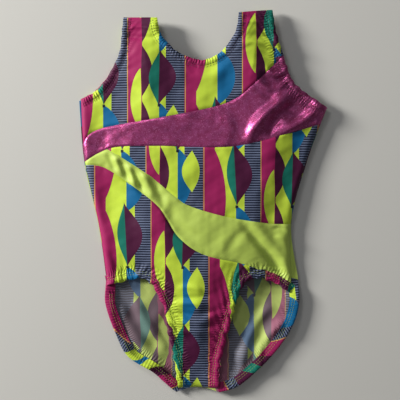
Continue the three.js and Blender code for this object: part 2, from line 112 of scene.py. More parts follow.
def along(curve, shares):
    # points at shares of the curve's length
    s = lengths(curve)
    at = np.asarray(shares, float) * s[-1]
    return np.stack([np.interp(at, s, curve[:, k]) for k in range(curve.shape[1])], axis=1)


def spans(*parts):
    # points along a run of curves, each given as (curve, steps, from, to)
    out = []
    for curve, steps, start, end in parts:
        run = along(curve, np.linspace(start, end, steps + 1))
        out.append(run[1:] if out else run)
    return np.concatenate(out)


def acrossAt(curve):
    # gives x on the curve as a function of y
    order = np.argsort(curve[:, 1])
    return lambda y: np.interp(y, curve[order, 1], curve[order, 0])


def shareAtX(curve, x):
    # the first share of the length at which the curve has come to x
    shares = np.linspace(0, 1, 400)
    return shares[np.argmax(along(curve, shares)[:, 0] >= x)]


def matched(curve, corners, steps):
    # points along a curve with a corner at each given x and a set count of steps between corners
    marks = [0, *[shareAtX(curve, x) for x in corners], 1]
    return spans(*[(curve, n, marks[i], marks[i + 1]) for i, n in enumerate(steps)])


def between(start, end, shares):
    # a smooth curve through points given as shares of the way across and up from start to end
    start, end = np.array(start), np.array(end)
    return through([start, *[start + (end - start) * np.array(s) for s in shares], end])


def mixed(a, b, share):
    # a plus a share of the way to b
    return a + (b - a) * share


def rounded(x):
    # smooth step from 0 to 1
    t = np.clip(x, 0, 1)
    return t * t * (3 - 2 * t)


def outline(b):
    # every corner and edge of the laid front and back
    top, bottom, show, half = b["top"], b["bottom"], b["backShow"], b["chestWidth"] / 2
    underarm, level = top - b["armholeDrop"], bottom + b["crotchRise"]
    torso = lambda share: mixed(bottom, underarm, share)
    levels = [("rib", torso(0.8)), ("waist", torso(0.587)), ("hip", torso(0.4))]
    side = lambda sign, *more: [
        (b[name + "Lean"] + sign * (b[name + "Width"] / 2 + out), y) for (name, y), out in zip(levels, more)
    ]
    left, right = b["neckCentre"] - b["shoulderSpan"] / 2, b["neckCentre"] + b["shoulderSpan"] / 2
    strapY, middle, crotch = top - b["leftStrapDrop"], b["neckCentre"] + 5, b["crotchCentre"]
    o = {
        "torso": torso,
        "crotchLevel": level,
        "leftTip": (-half + show, underarm + b["underarmTilt"]),
        "rightTip": (half, underarm - b["underarmTilt"]),
        "leftHip": (b["hipLean"] - b["hipWidth"] / 2, torso(0.372)),
        "rightHip": (b["hipLean"] + b["hipWidth"] / 2 - 1, torso(0.345)),
        "leftOuter": (left, strapY),
        "leftInner": (left + b["strapWidth"], strapY - b["strapSlope"] / 4),
        "rightOuter": (right, top),
        "rightInner": (right - b["strapWidth"], top - b["strapSlope"]),
        "neckBottom": (middle, top - b["neckDrop"]),
        "backNeckBottom": (middle, top - b["backNeckDrop"]),
        "leftCrotch": (crotch - b["crotchWidth"] / 2, level),
        "rightCrotch": (crotch + b["crotchWidth"] / 2, level),
    }
    o["backLeftTip"] = (-half, o["leftTip"][1] - show)
    o["backLeftHip"] = (o["leftHip"][0] - show / 2, o["leftHip"][1] - 4)
    o["backRightHip"] = (o["leftHip"][0] + b["seatWidth"], o["rightHip"][1] + 1)
    o["leftSeat"], o["rightSeat"] = (o["leftCrotch"][0] - 2, bottom), (o["rightCrotch"][0] + 1, bottom)
    for name, start, end, shares in [
        ("leftArmhole", "leftTip", "leftOuter", [(0.38, 0.11), (0.67, 0.31), (0.91, 0.57), (0.96, 0.8)]),
        ("rightArmhole", "rightTip", "rightOuter", [(0.32, 0.12), (0.64, 0.28), (0.82, 0.56), (0.935, 0.77)]),
        (
            "leftLeg", "leftHip", "leftCrotch",
            [(0.26, -0.04), (0.47, -0.067), (0.64, 0), (0.81, 0.244), (0.88, 0.5), (0.95, 0.76)],
        ),
        (
            "rightLeg", "rightCrotch", "rightHip",
            [(0.03, 0.28), (0.14, 0.613), (0.25, 0.92), (0.36, 1.1), (0.56, 1.16), (0.8, 1.1)],
        ),
        ("backLeftArmhole", "backLeftTip", "leftOuter", [(0.34, 0.12), (0.65, 0.31), (0.91, 0.57), (0.96, 0.8)]),
        ("backLeftLeg", "backLeftHip", "leftSeat", [(0, 0.15), (0.11, 0.38), (0.31, 0.65), (0.65, 0.8), (0.9, 0.95)]),
        (
            "backRightLeg", "rightSeat", "backRightHip",
            [(0.23, 0.06), (0.48, 0.22), (0.75, 0.45), (0.93, 0.68), (1, 0.88)],
        ),
    ]:
        o[name] = between(o[start], o[end], shares)
    for name, lowest, shares in [
        ("frontNeck", "neckBottom", [(0.07, 0.36), (0.24, 0.6), (0.5, 0.84)]),
        ("backNeck", "backNeckBottom", [(0.03, 0.3), (0.12, 0.6), (0.4, 0.88)]),
    ]:
        falling, rising = (
            [o[strap], *[mixed(np.array(o[strap]), np.array(o[lowest]), np.array(s)) for s in shares]]
            for strap in ["leftInner", "rightInner"]
        )
        o[name] = through([*falling, o[lowest], *rising[::-1]])
    o["leftSide"] = through([o["leftTip"], *side(-1, 0, 0, 0), o["leftHip"]])
    o["rightSide"] = through([o["rightTip"], *side(1, 0, 0, 0), o["rightHip"]])
    hipY = levels[2][1]
    for name, tip, sign, hip in [
        ("backLeftSide", "backLeftTip", -1, (o["leftHip"][0] - show / 2, hipY)),
        ("backRightSide", "rightTip", 1, (o["backRightHip"][0] - 1, hipY)),
    ]:
        o[name] = through([o[tip], *side(sign, show / 2, show / 4), hip, o[name.replace("Side", "Hip")]])
    o["seatEdge"] = through([o["leftSeat"], (crotch, level + 1), o["rightSeat"]])
    return o


edge = outline(body)
leftX, rightX = acrossAt(edge["leftSide"]), acrossAt(edge["rightSide"])
backLeftX, backRightX = acrossAt(edge["backLeftSide"]), acrossAt(edge["backRightSide"])


def crossSeam(left, via, right, xLeft, xRight):
    # a seam across the body, its points as shares of the width and of the height up the torso
    torso = edge["torso"]
    middle = [(mixed(xLeft(torso(up)), xRight(torso(up)), across), torso(up)) for across, up in via]
    end = right if isinstance(right, tuple) else (xRight(torso(right)), torso(right))
    return through([(xLeft(torso(left)), torso(left)), *middle, end])


armholeCorner = tuple(along(edge["rightArmhole"], [body["bandOnArmhole"]])[0])
seams = {
    "metallicUpper": crossSeam(
        0.865,
        [(0.07, 0.912), (0.31, 0.948), (0.52, 0.984), (0.62, 1.013), (0.7, 1.065)],
        armholeCorner, leftX, rightX,
    ),
    "metallicLower": crossSeam(
        0.8, [(0.07, 0.831), (0.15, 0.85), (0.33, 0.853), (0.64, 0.85), (0.86, 0.892)], 0.93, leftX, rightX
    ),
    "limeUpper": crossSeam(
        0.87,
        [(0.108, 0.841), (0.286, 0.753), (0.411, 0.676), (0.48, 0.645), (0.66, 0.609), (0.876, 0.586)],
        0.583, leftX, rightX,
    ),
    "limeLower": crossSeam(
        0.788,
        [(0.09, 0.777), (0.237, 0.697), (0.32, 0.644), (0.36, 0.598), (0.416, 0.535), (0.537, 0.478), (0.78, 0.438)],
        0.37, leftX, rightX,
    ),
    "backMetallicUpper": crossSeam(0.865, [(0.5, 0.93)], 0.97, backLeftX, backRightX),
    "backMetallicLower": crossSeam(0.8, [(0.5, 0.865)], 0.92, backLeftX, backRightX),
    "backLimeUpper": crossSeam(0.788, [(0.3, 0.7), (0.55, 0.625), (0.8, 0.59)], 0.583, backLeftX, backRightX),
    "backLimeLower": crossSeam(
        0.775, [(0.25, 0.67), (0.45, 0.53), (0.6, 0.465), (0.8, 0.43)], 0.39, backLeftX, backRightX
    ),
}
# the lime band's upper seam runs under the metallic band until the two part
metallicY = lambda x: np.interp(x, seams["metallicLower"][:, 0], seams["metallicLower"][:, 1])
shares = np.linspace(0, 1, 400)
limeRun = along(seams["limeUpper"], shares)
parting = shares[np.argmax(limeRun[:, 1] < metallicY(limeRun[:, 0]))]
partingX = along(seams["limeUpper"], [parting])[0][0]
seamsInFront = [name for name in seams if not name.startswith("back")]
print("outline worked out")


# how the cloth lies, in millimetres

lie = {
    "fabric": 0.7,
    "joined": 6.4,  # outside of the front over both layers of elastic
    "loft": 10.5,
    "leftRound": 85,
    "rightRound": 50,
    "strapRound": 80,
    "crotchRound": 80,
    "openRound": 55,  # the front sinks towards its openings
    "openKeep": 0.42,  # share of the loft kept at their edges
    "hemThickness": 2.4,
    "ripple": 0.95,  # height of the gathers on the elastic
    "ripplePitch": 8.5,
    "seamGroove": 0.9,
    "seamPucker": 0.13,
    "hemRoll": 0.9,
    "stitchSink": 0.5,
    "frontWaves": [(0.8, 62, 3), (0.38, 26, 5), (0.1, 11, 6)],  # height, wave, seed
    "backWaves": [(1.4, 46, 8), (0.6, 21, 9)],
    "foldHeight": 1.45,
    "backGathers": 0.7,
}
# how high the rims stand off the table, and how far in that fades
rims = {
    "strap": (9.0, 34), "rightSide": (4.5, 20), "leftSide": (2.2, 15), "rightSeat": (6.0, 16), "leftSeat": (4.2, 12),
    "strapFrom": 120,  # height up the body
    "strapOver": 70,
}

frontOpenings = [
    (edge["leftArmhole"], 0.6), (edge["rightArmhole"], 0.9), (edge["frontNeck"], 0.35),
    (edge["leftLeg"], 1.5), (edge["rightLeg"], 1.5),
]
backOpenings = [
    (edge["backLeftArmhole"], 0.5), (edge["rightArmhole"], 0.5), (edge["backNeck"], 0.5),
    (edge["backLeftLeg"], 1.0), (edge["backRightLeg"], 1.0),
]


def nearest(curve, x, y):
    # distance to the curve and the length along it of its nearest point
    path = along(curve, np.linspace(0, 1, 260)).astype(np.float32)
    s = lengths(path)
    xy = np.stack([x.ravel(), y.ravel()], axis=1).astype(np.float32)
    distance, where = [], []
    for block in np.array_split(xy, max(1, len(xy) // 20000)):
        d2 = (block[:, None, 0] - path[None, :, 0])**2 + (block[:, None, 1] - path[None, :, 1])**2
        best = d2.argmin(axis=1)
        distance.append(np.sqrt(d2[np.arange(len(block)), best]))
        where.append(s[best])
    return np.concatenate(distance).reshape(x.shape), np.concatenate(where).reshape(x.shape)


def gather(s, pitch, seed):
    # uneven ripples along a length: two sines whose pitches wander
    wander = 1.7 * np.sin(s / 23 + seed) + 1.1 * np.sin(s / 11 + 2.3 * seed)
    first = np.sin(2 * np.pi * s / pitch + wander + seed)
    second = np.sin(2 * np.pi * s / (pitch * 1.63) + 1.9 * seed + wander)
    return 0.6 * first + 0.4 * second


def undulation(x, y, wave, seed, count=9):
    # a sum of plane waves in seeded directions
    rng = np.random.default_rng(seed)
    total = np.zeros_like(x)
    for angle, phase, stretch in zip(
        rng.uniform(0, np.pi, count), rng.uniform(0, 2 * np.pi, count), rng.uniform(0.7, 1.5, count)
    ):
        total += np.sin(2 * np.pi * (x * np.cos(angle) + y * np.sin(angle)) / (wave * stretch) + phase)
    return total / math.sqrt(count)


def waves(x, y, sums):
    # undulations added, each with its own height, wave length and seed
    return sum(height * undulation(x, y, wave, seed) for height, wave, seed in sums)


# ridges and valleys of the front: start, end, bow to the left, height, width
folds = [
    ((52, 72), (104, 125), 6, 4.5, 7),
    ((84, 122), (114, 130), 3, 1.4, 4.5),
    ((76, 79), (110, 113), 3, -2.8, 6),
    ((96, 82), (136, 113), -3, 3.7, 6),
    ((66, 140), (99, 141), -8, 2.1, 3.2),
    ((70, 150), (99, 149), -6, -1.3, 3),
    ((75, 157), (96, 153), -5, 1.6, 3.2),
    ((-140, 52), (-131, 74), 2, 0.25, 6),
    ((-128, 56), (-118, 84), -3, -0.35, 6),
    ((20, 62), (34, 96), -3, 1.0, 7),
    ((-113, 55), (-105, 36), 1, -1.3, 3.6),
    ((-106, 52), (-97, 32), 1, 1.2, 4),
    ((-99, 48), (-89, 23), 2, -2.0, 4.2),
    ((-92, 42), (-81, 16), 2, 1.5, 4.5),
    ((-84, 38), (-72, 9), 2, -2.0, 4.4),
    ((-73, 32), (-61, 2), 3, 1.4, 5),
    ((-62, 26), (-47, -8), 3, -1.4, 5),
    ((-40, -6), (-14, -44), -4, -1.2, 8),
    ((48, -28), (98, -92), 1, -2.4, 5),
    ((60, -26), (106, -84), 1, 1.7, 6),
    ((28, -64), (50, -34), 3, -1.0, 6),
    ((84, -32), (103, -40), 3, -1.3, 2.6),
    ((86, -42), (104, -54), 3, 1.1, 3.2),
    ((100, -20), (106, -80), 2, -1.0, 3.5),
    ((-96, 150), (-60, 120), 6, 1.1, 9),
    ((-40, 158), (30, 158), -12, 1.1, 7),
    ((-104, -20), (-60, -88), -10, 1.3, 12),
    ((-112, -60), (-84, -90), -4, -1.3, 6),
    ((-20, 40), (60, 10), 10, 1.2, 14),
    ((-60, 92), (40, 84), 6, 0.9, 10),
    ((20, 52), (100, 66), -8, 0.9, 9),
    ((-30, -104), (-2, -106), 3, 1.3, 3.6),
    ((-34, -114), (6, -112), -2, -1.2, 3.4),
    ((-34, -122), (2, -124), 2, 1.3, 3.4),
    ((-32, -132), (24, -130), -3, -1.2, 3.6),
    ((0, -140), (32, -134), 3, 1.3, 3.4),
    ((-32, -143), (10, -142), -2, 1.1, 3.6),
    ((4, -150), (30, -146), 2, -1.1, 3.4),
    ((-30, -156), (22, -158), 2, 1.0, 4.5),
    ((-90, 206), (-56, 203), 2, 1.1, 3),
    ((-92, 197), (-54, 195), -2, -0.9, 3),
    ((46, 212), (84, 208), 2, 1.1, 3),
    ((44, 198), (86, 196), -2, -0.9, 3.5),
    ((44, 186), (88, 184), 2, 0.9, 3.5),
]
# the same for the seat, seen through the leg openings
seatFolds = [
    ((44, -200), (78, -126), 6, 4.8, 7),
    ((64, -192), (98, -142), 5, 3.6, 5.5),
    ((30, -178), (52, -118), 4, 2.4, 5),
    ((-98, -126), (-58, -188), -5, 4.4, 7),
    ((-82, -116), (-46, -172), -4, 3.2, 6),
    ((-96, -166), (-62, -200), -4, 2.2, 4.5),
    ((-70, -196), (-44, -206), 3, 1.8, 4.5),
]


def creases(x, y, lines):
    # each a bell-shaped ridge across a bowed line, fading out past its ends
    total = np.zeros_like(x)
    for start, end, bow, height, width in lines:
        a, b = np.array(start, float), np.array(end, float)
        length = np.hypot(*(b - a))
        ux, uy = (b - a) / length
        s = ((x - a[0]) * ux + (y - a[1]) * uy) / length
        n = -(x - a[0]) * uy + (y - a[1]) * ux - bow * np.clip(4 * s * (1 - s), 0, 1)
        taper = rounded((s + 0.18) / 0.4) * rounded((1.18 - s) / 0.4)
        total += height * np.exp(-((n / width)**2)) * taper
    return total


def openingEffects(openings, x, y):
    # (lowering towards the openings from 0 to 1, ripples of the gathered elastic)
    room, ripples = np.ones_like(x), np.zeros_like(x)
    for k, (curve, strength) in enumerate(openings):
        d, s = nearest(curve, x, y)
        room = np.minimum(room, rounded(d / lie["openRound"]))
        swell = 0.5 + 0.6 * np.exp(-(((d - 15) / 5)**2))
        pitch = lie["ripplePitch"] * (1 + d / 60)
        ripples += strength * lie["ripple"] * swell * np.exp(-d / 16) * gather(s, pitch, 1.3 * k + 0.7)
        ripples += lie["hemRoll"] * np.exp(-(((d - 3) / 2.4)**2)) - lie["stitchSink"] * np.exp(-(((d - 7.8) / 1.6)**2))
    return room, ripples


def seamEffects(names, x, y):
    # a narrow groove along each seam, with small puckers beside it
    total = np.zeros_like(x)
    for k, name in enumerate(names):
        d, s = nearest(seams[name], x, y)
        total -= lie["seamGroove"] * np.exp(-((d / 1.3)**2))
        total += lie["seamPucker"] * np.exp(-(((d - 3.5) / 4)**2)) * gather(s, 9, 2.1 * k + 0.4)
    return total


def lifted(x, y):
    # the straps and the rims of the body and the seat stand a little off the table, in bell-shaped rises
    bell = lambda distance, name: rims[name][0] * np.exp(-((distance / rims[name][1])**2))
    strap = np.maximum(*(bell(x - edge[name][0], "strap") for name in ["leftInner", "rightInner"]))
    strap = rounded((y - rims["strapFrom"]) / rims["strapOver"]) * (0.45 * rims["strap"][0] + 0.55 * strap)
    right, left = np.maximum(backRightX(y) - x, 0), np.maximum(x - backLeftX(y), 0)
    sides = np.maximum(bell(right, "rightSide"), bell(left, "leftSide"))
    leftSeat, rightSeat = nearest(edge["backLeftLeg"], x, y)[0], nearest(edge["backRightLeg"], x, y)[0]
    seat = np.maximum(bell(rightSeat, "rightSeat"), bell(leftSeat, "leftSeat"))
    return np.maximum(np.maximum(strap, sides), seat)


def backUnder(x, y):
    # outside of the back, which rests on the table and only lifts a little in its gathers
    _, ripples = openingEffects(backOpenings, x, y)
    inside = np.minimum(x - backLeftX(y), backRightX(y) - x)
    shape = 0.25 + lie["backGathers"] * ripples + waves(x, y, lie["backWaves"]) + creases(x, y, seatFolds)
    return rounded(inside / 10) * np.maximum(shape, 0) + lifted(x, y)


def frontTop(x, y):
    # outside of the front: it rises from its joined edges, crowns, and carries folds and gathers
    fromSides = np.minimum(x - leftX(y), rightX(y) - x)
    outer = np.where(x < body["neckCentre"], edge["leftOuter"][1], edge["rightOuter"][1])
    fromShoulder, fromCrotch = outer - y, y - edge["crotchLevel"]
    room, ripples = openingEffects(frontOpenings, x, y)
    near = np.minimum(np.minimum(fromSides, fromShoulder), fromCrotch)
    lip = 1.75 + (lie["joined"] - 1.55) * np.sqrt(1 - (1 - np.clip(near / 8, 0, 1))**2)
    rise = np.minimum(rounded((x - leftX(y)) / lie["leftRound"]), rounded((rightX(y) - x) / lie["rightRound"]))
    rise = rise * rounded(fromShoulder / lie["strapRound"]) * rounded(fromCrotch / lie["crotchRound"])
    rise = rise * (lie["openKeep"] + (1 - lie["openKeep"]) * room)
    calm = rounded(near / 12)
    soft = lie["foldHeight"] * creases(x, y, folds) + waves(x, y, lie["frontWaves"]) + ripples
    shape = lip + lie["loft"] * rise + calm * soft + seamEffects(seamsInFront, x, y)
    least = backUnder(x, y) + 1.6 + 1.9 * rounded(near / 10)
    return np.maximum(np.maximum(shape, 1.6) + lifted(x, y), least)


# grids between four edges

def patch(lower, upper, left, right, up=None):
    # Coons patch: the two ruled surfaces between opposite edges added, less the one through the corners
    u = np.linspace(0, 1, len(lower))[None, :, None]
    v = (np.linspace(0, 1, len(left)) if up is None else up)[:, None, None]
    corners = mixed(mixed(lower[0], lower[-1], u), mixed(upper[0], upper[-1], u), v)
    return mixed(lower[None], upper[None], v) + mixed(left[:, None], right[:, None], u) - corners


def upEdge(start, end, xAt, up):
    # points on a side edge at shares of its height
    y = mixed(start[1], end[1], up)
    points = np.stack([xAt(y), y], axis=1)
    points[0], points[-1] = start, end
    return points


def panelGrid(lower, upper, rows, xLeft, xRight):
    # a patch between two seams and the two sides of the body
    up = np.linspace(0, 1, rows + 1)
    left = upEdge(lower[0], upper[0], xLeft, up)
    right = upEdge(lower[-1], upper[-1], xRight, up)
    return patch(lower, upper, left, right)


def climbing(path, corner, rows):
    # points up an edge at given rows, half by height and half by length; a row is moved onto its corner
    height = (path[:, 1] - path[0, 1]) / (path[-1, 1] - path[0, 1])
    run = np.maximum.accumulate(mixed(height, lengths(path) / lengths(path)[-1], 0.5))
    points = np.stack([np.interp(rows, run, path[:, 0]), np.interp(rows, run, path[:, 1])], axis=1)
    points[0], points[-1] = path[0], path[-1]
    if corner is not None:
        points[np.argmin(np.hypot(*(points - corner).T))] = corner
    return points


def upFrom(curve, y):
    # the part of an upward curve above a height
    run = along(curve, np.linspace(0, 1, 300))
    run = run[::-1] if run[0, 1] > run[-1, 1] else run
    return run[run[:, 1] > y]


def relaxed(grid, turns=300):
    # every inner point moved to the middle of its four neighbours, over and over: opens cells folded at a corner
    for _ in range(turns):
        grid[1:-1, 1:-1] = (grid[:-2, 1:-1] + grid[2:, 1:-1] + grid[1:-1, :-2] + grid[1:-1, 2:]) / 4
    return grid


def yokeGrids(seam, neck, neckBottom, leftArm, leftTip, leftSide, rightArm, rightSide, lowRows, highRows, columns):
    # two halves that share their middle line up to the neck's lowest point
    middle = shareAtX(seam, neckBottom[0])
    centre = along(seam, [middle])[0]
    lowest = shareAtX(neck, neckBottom[0])
    tops = [(edge["leftOuter"], edge["leftInner"]), (edge["rightInner"], edge["rightOuter"])]
    leftOuter = [seam[:1], upFrom(leftSide, seam[0, 1] + 0.5), along(leftArm, np.linspace(0, 1, 300))]
    rightOuter = [seam[-1:], rightArm]
    if rightSide is not None:
        rightOuter.insert(1, upFrom(rightSide, seam[-1, 1] + 0.5))
    grids = []
    for k, outer in enumerate([leftOuter, rightOuter]):
        toNeck = along(neck, np.linspace(lowest, k, 300))
        inner = np.concatenate([line(centre, toNeck[0], 60), toNeck[1:]])
        height = (inner[:, 1] - inner[0, 1]) / (inner[-1, 1] - inner[0, 1])
        run = mixed(height, lengths(inner) / lengths(inner)[-1], 0.5)
        rows = np.concatenate([np.linspace(0, run[59], lowRows + 1), np.linspace(run[59], 1, highRows + 1)[1:]])
        inward = climbing(inner, None, rows)
        outward = climbing(np.concatenate(outer), None if k and rightSide is None else outer[-1][0], rows)
        low = along(seam, np.linspace(0, middle, columns) if k == 0 else np.linspace(middle, 1, columns))
        high = along(line(*tops[k]), np.linspace(0, 1, columns))
        grids.append(relaxed(patch(low, high, *((outward, inward) if k == 0 else (inward, outward)), rows)))
    return grids


columnsAcross = 150
legLeftX, legRightX = acrossAt(edge["backLeftLeg"]), acrossAt(edge["backRightLeg"])
seatLeftX = lambda y: np.where(y < edge["backLeftHip"][1], legLeftX(y), backLeftX(y))
seatRightX = lambda y: np.where(y < edge["backRightHip"][1], legRightX(y), backRightX(y))
seamGap = 0.004  # share of a seam left out where the bands part
metallicPart = shareAtX(seams["metallicLower"], partingX)
tip, rest = 14, 136  # columns where the two bands touch, and past that
leftCrotchX, rightCrotchX = edge["leftCrotch"][0], edge["rightCrotch"][0]
limeEdge = matched(
    seams["limeLower"],
    [partingX, edge["leftHip"][0] + 45, leftCrotchX - 10, rightCrotchX - 20, rightCrotchX],
    [tip, 16, 36, 14, 40, 30],
)
legsFront = spans(
    (edge["leftLeg"], tip + 16, 0, 0.3), (edge["leftLeg"], 36, 0.3, 1),
    (line(edge["leftCrotch"], edge["rightCrotch"]), 14, 0, 1),
    (edge["rightLeg"], 40, 0, 0.8), (edge["rightLeg"], 30, 0.8, 1),
)
underarmSpan = 30
metallicTop = np.concatenate([
    matched(seams["metallicUpper"], [], [columnsAcross - underarmSpan]),
    along(edge["rightArmhole"], np.linspace(body["bandOnArmhole"], 0, underarmSpan + 1))[1:],
])
metallicBottom = matched(seams["metallicLower"], [armholeCorner[0] - 6], [columnsAcross - underarmSpan, underarmSpan])
limeTop = np.concatenate([
    spans((seams["metallicLower"], tip, 0, metallicPart)),
    spans((seams["limeUpper"], rest, parting, 1))[1:],
])
seatSide = 0.25  # share of each leg edge that counts as the seat's side
seatLower = spans(
    (edge["backLeftLeg"], 50, seatSide, 1), (edge["seatEdge"], 16, 0, 1),
    (edge["backRightLeg"], 60, 0, 1 - seatSide),
)
seatUpper = matched(seams["backLimeLower"], [edge["leftSeat"][0] - 12, edge["rightSeat"][0]], [50, 16, 60])


def backBand(lower, upper, rows):
    # a back panel from one seam to the next
    return panelGrid(*(spans((seams[name], 110, 0, 1)) for name in [lower, upper]), rows, backLeftX, backRightX)


grids = {
    "frontYoke": yokeGrids(
        seams["metallicUpper"], edge["frontNeck"], edge["neckBottom"], edge["leftArmhole"], edge["leftTip"],
        edge["leftSide"], along(edge["rightArmhole"], np.linspace(body["bandOnArmhole"], 1, 300))[1:], None,
        30, 60, 72,
    ),
    "frontMetallicBand": [panelGrid(metallicBottom, metallicTop, 34, leftX, rightX)],
    "frontWaist": [panelGrid(
        spans((seams["limeUpper"], rest, parting + seamGap, 1)),
        spans((seams["metallicLower"], rest, metallicPart + seamGap, 1)),
        60, lambda y: np.full_like(y, partingX + 1.5), rightX,
    )],
    "frontLimeBand": [panelGrid(limeEdge, limeTop, 34, leftX, rightX)],
    "frontHips": [panelGrid(legsFront, limeEdge, 110, leftX, rightX)],
    "backYoke": yokeGrids(
        seams["backMetallicUpper"], edge["backNeck"], edge["backNeckBottom"], edge["backLeftArmhole"],
        edge["backLeftTip"], edge["backLeftSide"], along(edge["rightArmhole"], np.linspace(0, 1, 300)),
        edge["backRightSide"], 14, 76, 60,
    ),
    "backMetallicBand": [backBand("backMetallicLower", "backMetallicUpper", 12)],
    "backWaist": [backBand("backLimeUpper", "backMetallicLower", 40)],
    "backLimeBand": [backBand("backLimeLower", "backLimeUpper", 26)],
    "backSeat": [panelGrid(seatLower, seatUpper, 90, seatLeftX, seatRightX)],
}
print("cloth grids laid out")


# meshes

def placed(name, data):
    # a new object in the scene
    thing = bpy.data.objects.new(name, data)
    bpy.context.scene.collection.objects.link(thing)
    return thing


def gridFaces(rows, columns, start=0, closed=False):
    # four-cornered faces between neighbouring rows and columns; closed joins the last column to the first
    i, j = np.meshgrid(np.arange(rows - 1), np.arange(columns if closed else columns - 1), indexing="ij")
    after = (j + 1) % columns
    a, b = i * columns + j, i * columns + after
    c, d = (i + 1) * columns + after, (i + 1) * columns + j
    return np.stack([a, b, c, d], axis=-1).reshape(-1, 4) + start


def settle(points):
    # gathers also shift the cloth sideways: in and out along each opening, fading into the panel
    x, y = points[:, 0], points[:, 1]
    shift = np.zeros((len(points), 2))
    for k, (curve, strength) in enumerate(frontOpenings):
        d, s = nearest(curve, x, y)
        path = along(curve, np.linspace(0, 1, 260))
        way = np.gradient(path, axis=0)
        way /= np.linalg.norm(way, axis=1)[:, None]
        out = np.stack([np.interp(s, lengths(path), -way[:, 1]), np.interp(s, lengths(path), way[:, 0])], axis=1)
        ends = rounded(s / 15) * rounded((s.max() - s) / 15)
        push = strength * 0.8 * gather(s, lie["ripplePitch"] * 1.4, 1.3 * k + 2.1) * np.exp(-d / 14) * ends
        shift += out * push[:, None]
    moved = points.copy()
    moved[:, :2] += shift
    return moved


def pastFront(x, y):
    # where the back wraps round past the front's side seams and shows its outside
    return (x > rightX(y) - 0.8) | (x < leftX(y) + 0.8)


def fromHem(points, around):
    # length along the nearest opening and distance from it, counted larger where the elastic pulls less
    best = np.full(len(points), 1e9)
    place = np.zeros(len(points))
    for k, (curve, pull) in enumerate(around):
        d, s = nearest(curve, points[:, 0], points[:, 1])
        closer = d + 18 * max(1 - pull, 0) < best
        best, place = np.where(closer, d + 18 * max(1 - pull, 0), best), np.where(closer, s + 1000 * k, place)
    return np.stack([place, best], axis=1)


def makePiece(name, sheets, materials, nodes=(), solid=None, flip=False, closed=False):
    # sheets are (points, flat) grids in millimetres; flat is the place on the cut cloth, and flip turns a sheet
    # to face the table, as the back does
    points, flats, faces, count = [], [], [], 0
    for grid, flat in sheets:
        rows, columns = grid.shape[:2]
        faces.append(gridFaces(rows, columns, count, closed))
        points.append(grid.reshape(-1, 3))
        flats.append(flat.reshape(-1, 2))
        count += rows * columns
    points, flats, faces = settle(np.concatenate(points)), np.concatenate(flats), np.concatenate(faces)
    if flip:
        faces = faces[:, ::-1]
    mesh = bpy.data.meshes.new(name)
    mesh.from_pydata((points / metre).tolist(), [], faces.tolist())
    uv = mesh.uv_layers.new(name="cut")
    corner = np.zeros(len(mesh.loops), int)
    mesh.loops.foreach_get("vertex_index", corner)
    uv.data.foreach_set("uv", (flats[corner] / metre).ravel())
    hem = mesh.uv_layers.new(name="gather")
    hem.data.foreach_set("uv", (fromHem(points, backOpenings if flip else frontOpenings)[corner] / metre).ravel())
    work = bmesh.new()
    work.from_mesh(mesh)
    if solid and nodes and len(sheets) > 1:  # a yoke's two halves meet
        bmesh.ops.remove_doubles(work, verts=work.verts, dist=2e-5)
    bmesh.ops.dissolve_degenerate(work, dist=1e-6, edges=work.edges)
    if closed:
        bmesh.ops.holes_fill(work, edges=work.edges, sides=12)  # the band's two ends
        bmesh.ops.recalc_face_normals(work, faces=work.faces)
    for e in work.edges:
        e.smooth = not e.is_boundary
    work.to_mesh(mesh)
    work.free()
    mesh.polygons.foreach_set("use_smooth", [True] * len(mesh.polygons))
    piece = placed(name, mesh)
    for material in materials + materials[:1] * (2 if flip else 0):
        mesh.materials.append(material)
    if flip:
        # slots 2 and 3 give both faces of such a part the right side of the cloth
        middle = np.zeros(len(mesh.polygons) * 3)
        mesh.polygons.foreach_get("center", middle)
        middle = middle.reshape(-1, 3) * metre
        mesh.polygons.foreach_set("material_index", pastFront(middle[:, 0], middle[:, 1]).astype(int) * 2)
    if solid:
        shell = piece.modifiers.new("thickness", "SOLIDIFY")
        shell.thickness, shell.offset = solid / metre, -1
        shell.material_offset = len(materials) - 1
        shell.use_even_offset = False
    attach(piece, "root")
    if nodes:
        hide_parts(*nodes)
    return piece


def joined(xy, z):
    # places and heights put together
    return np.concatenate([xy, z[..., None]], axis=-1)


def raised(grid, height, more=0):
    # a flat grid lifted onto a height function
    return joined(grid, height(grid[..., 0], grid[..., 1]) + more)


# materials

def linear(code):
    # sRGB hex to linear
    c = np.array([int(code[i:i + 2], 16) / 255 for i in (1, 3, 5)])
    return (*np.where(c <= 0.04045, c / 12.92, ((c + 0.055) / 1.055)**2.4).tolist(), 1)


def addNode(tree, kind, links=None, out=0, **settings):
    # adds a node, sets it, links or fills its inputs, and gives one of its outputs
    node = tree.nodes.new("ShaderNode" + kind)
    for key, value in settings.items():
        setattr(node, key, value)
    for socket, value in (links or {}).items():
        if isinstance(value, bpy.types.NodeSocket):
            tree.links.new(value, node.inputs[socket])
        else:
            node.inputs[socket].default_value = value
    return node.outputs[out] if len(node.outputs) else node


def startMaterial(name):
    # an empty material with its shader
    material = bpy.data.materials.new(name)
    material.use_nodes = True
    tree = material.node_tree
    tree.nodes.clear()
    shader = tree.nodes.new("ShaderNodeBsdfPrincipled")
    out = tree.nodes.new("ShaderNodeOutputMaterial")
    tree.links.new(shader.outputs[0], out.inputs[0])
    return material, tree, shader


printCloth = {
    "repeatAcross": 136,  # mm
    "repeatUp": 132,
    "ground": "#B9D23E",
    "magenta": "#951856",
    "plum": "#470C34",
    "lime": "#B9D23E",
    "blue": "#056092",
    "teal": "#0E6F60",
    "navy": "#141C33",
    "slate": "#66708C",
    "amber": "#C49650",
    "rulePitch": 2.9,  # mm, of the fine rules
    "ruleShare": 0.58,
}
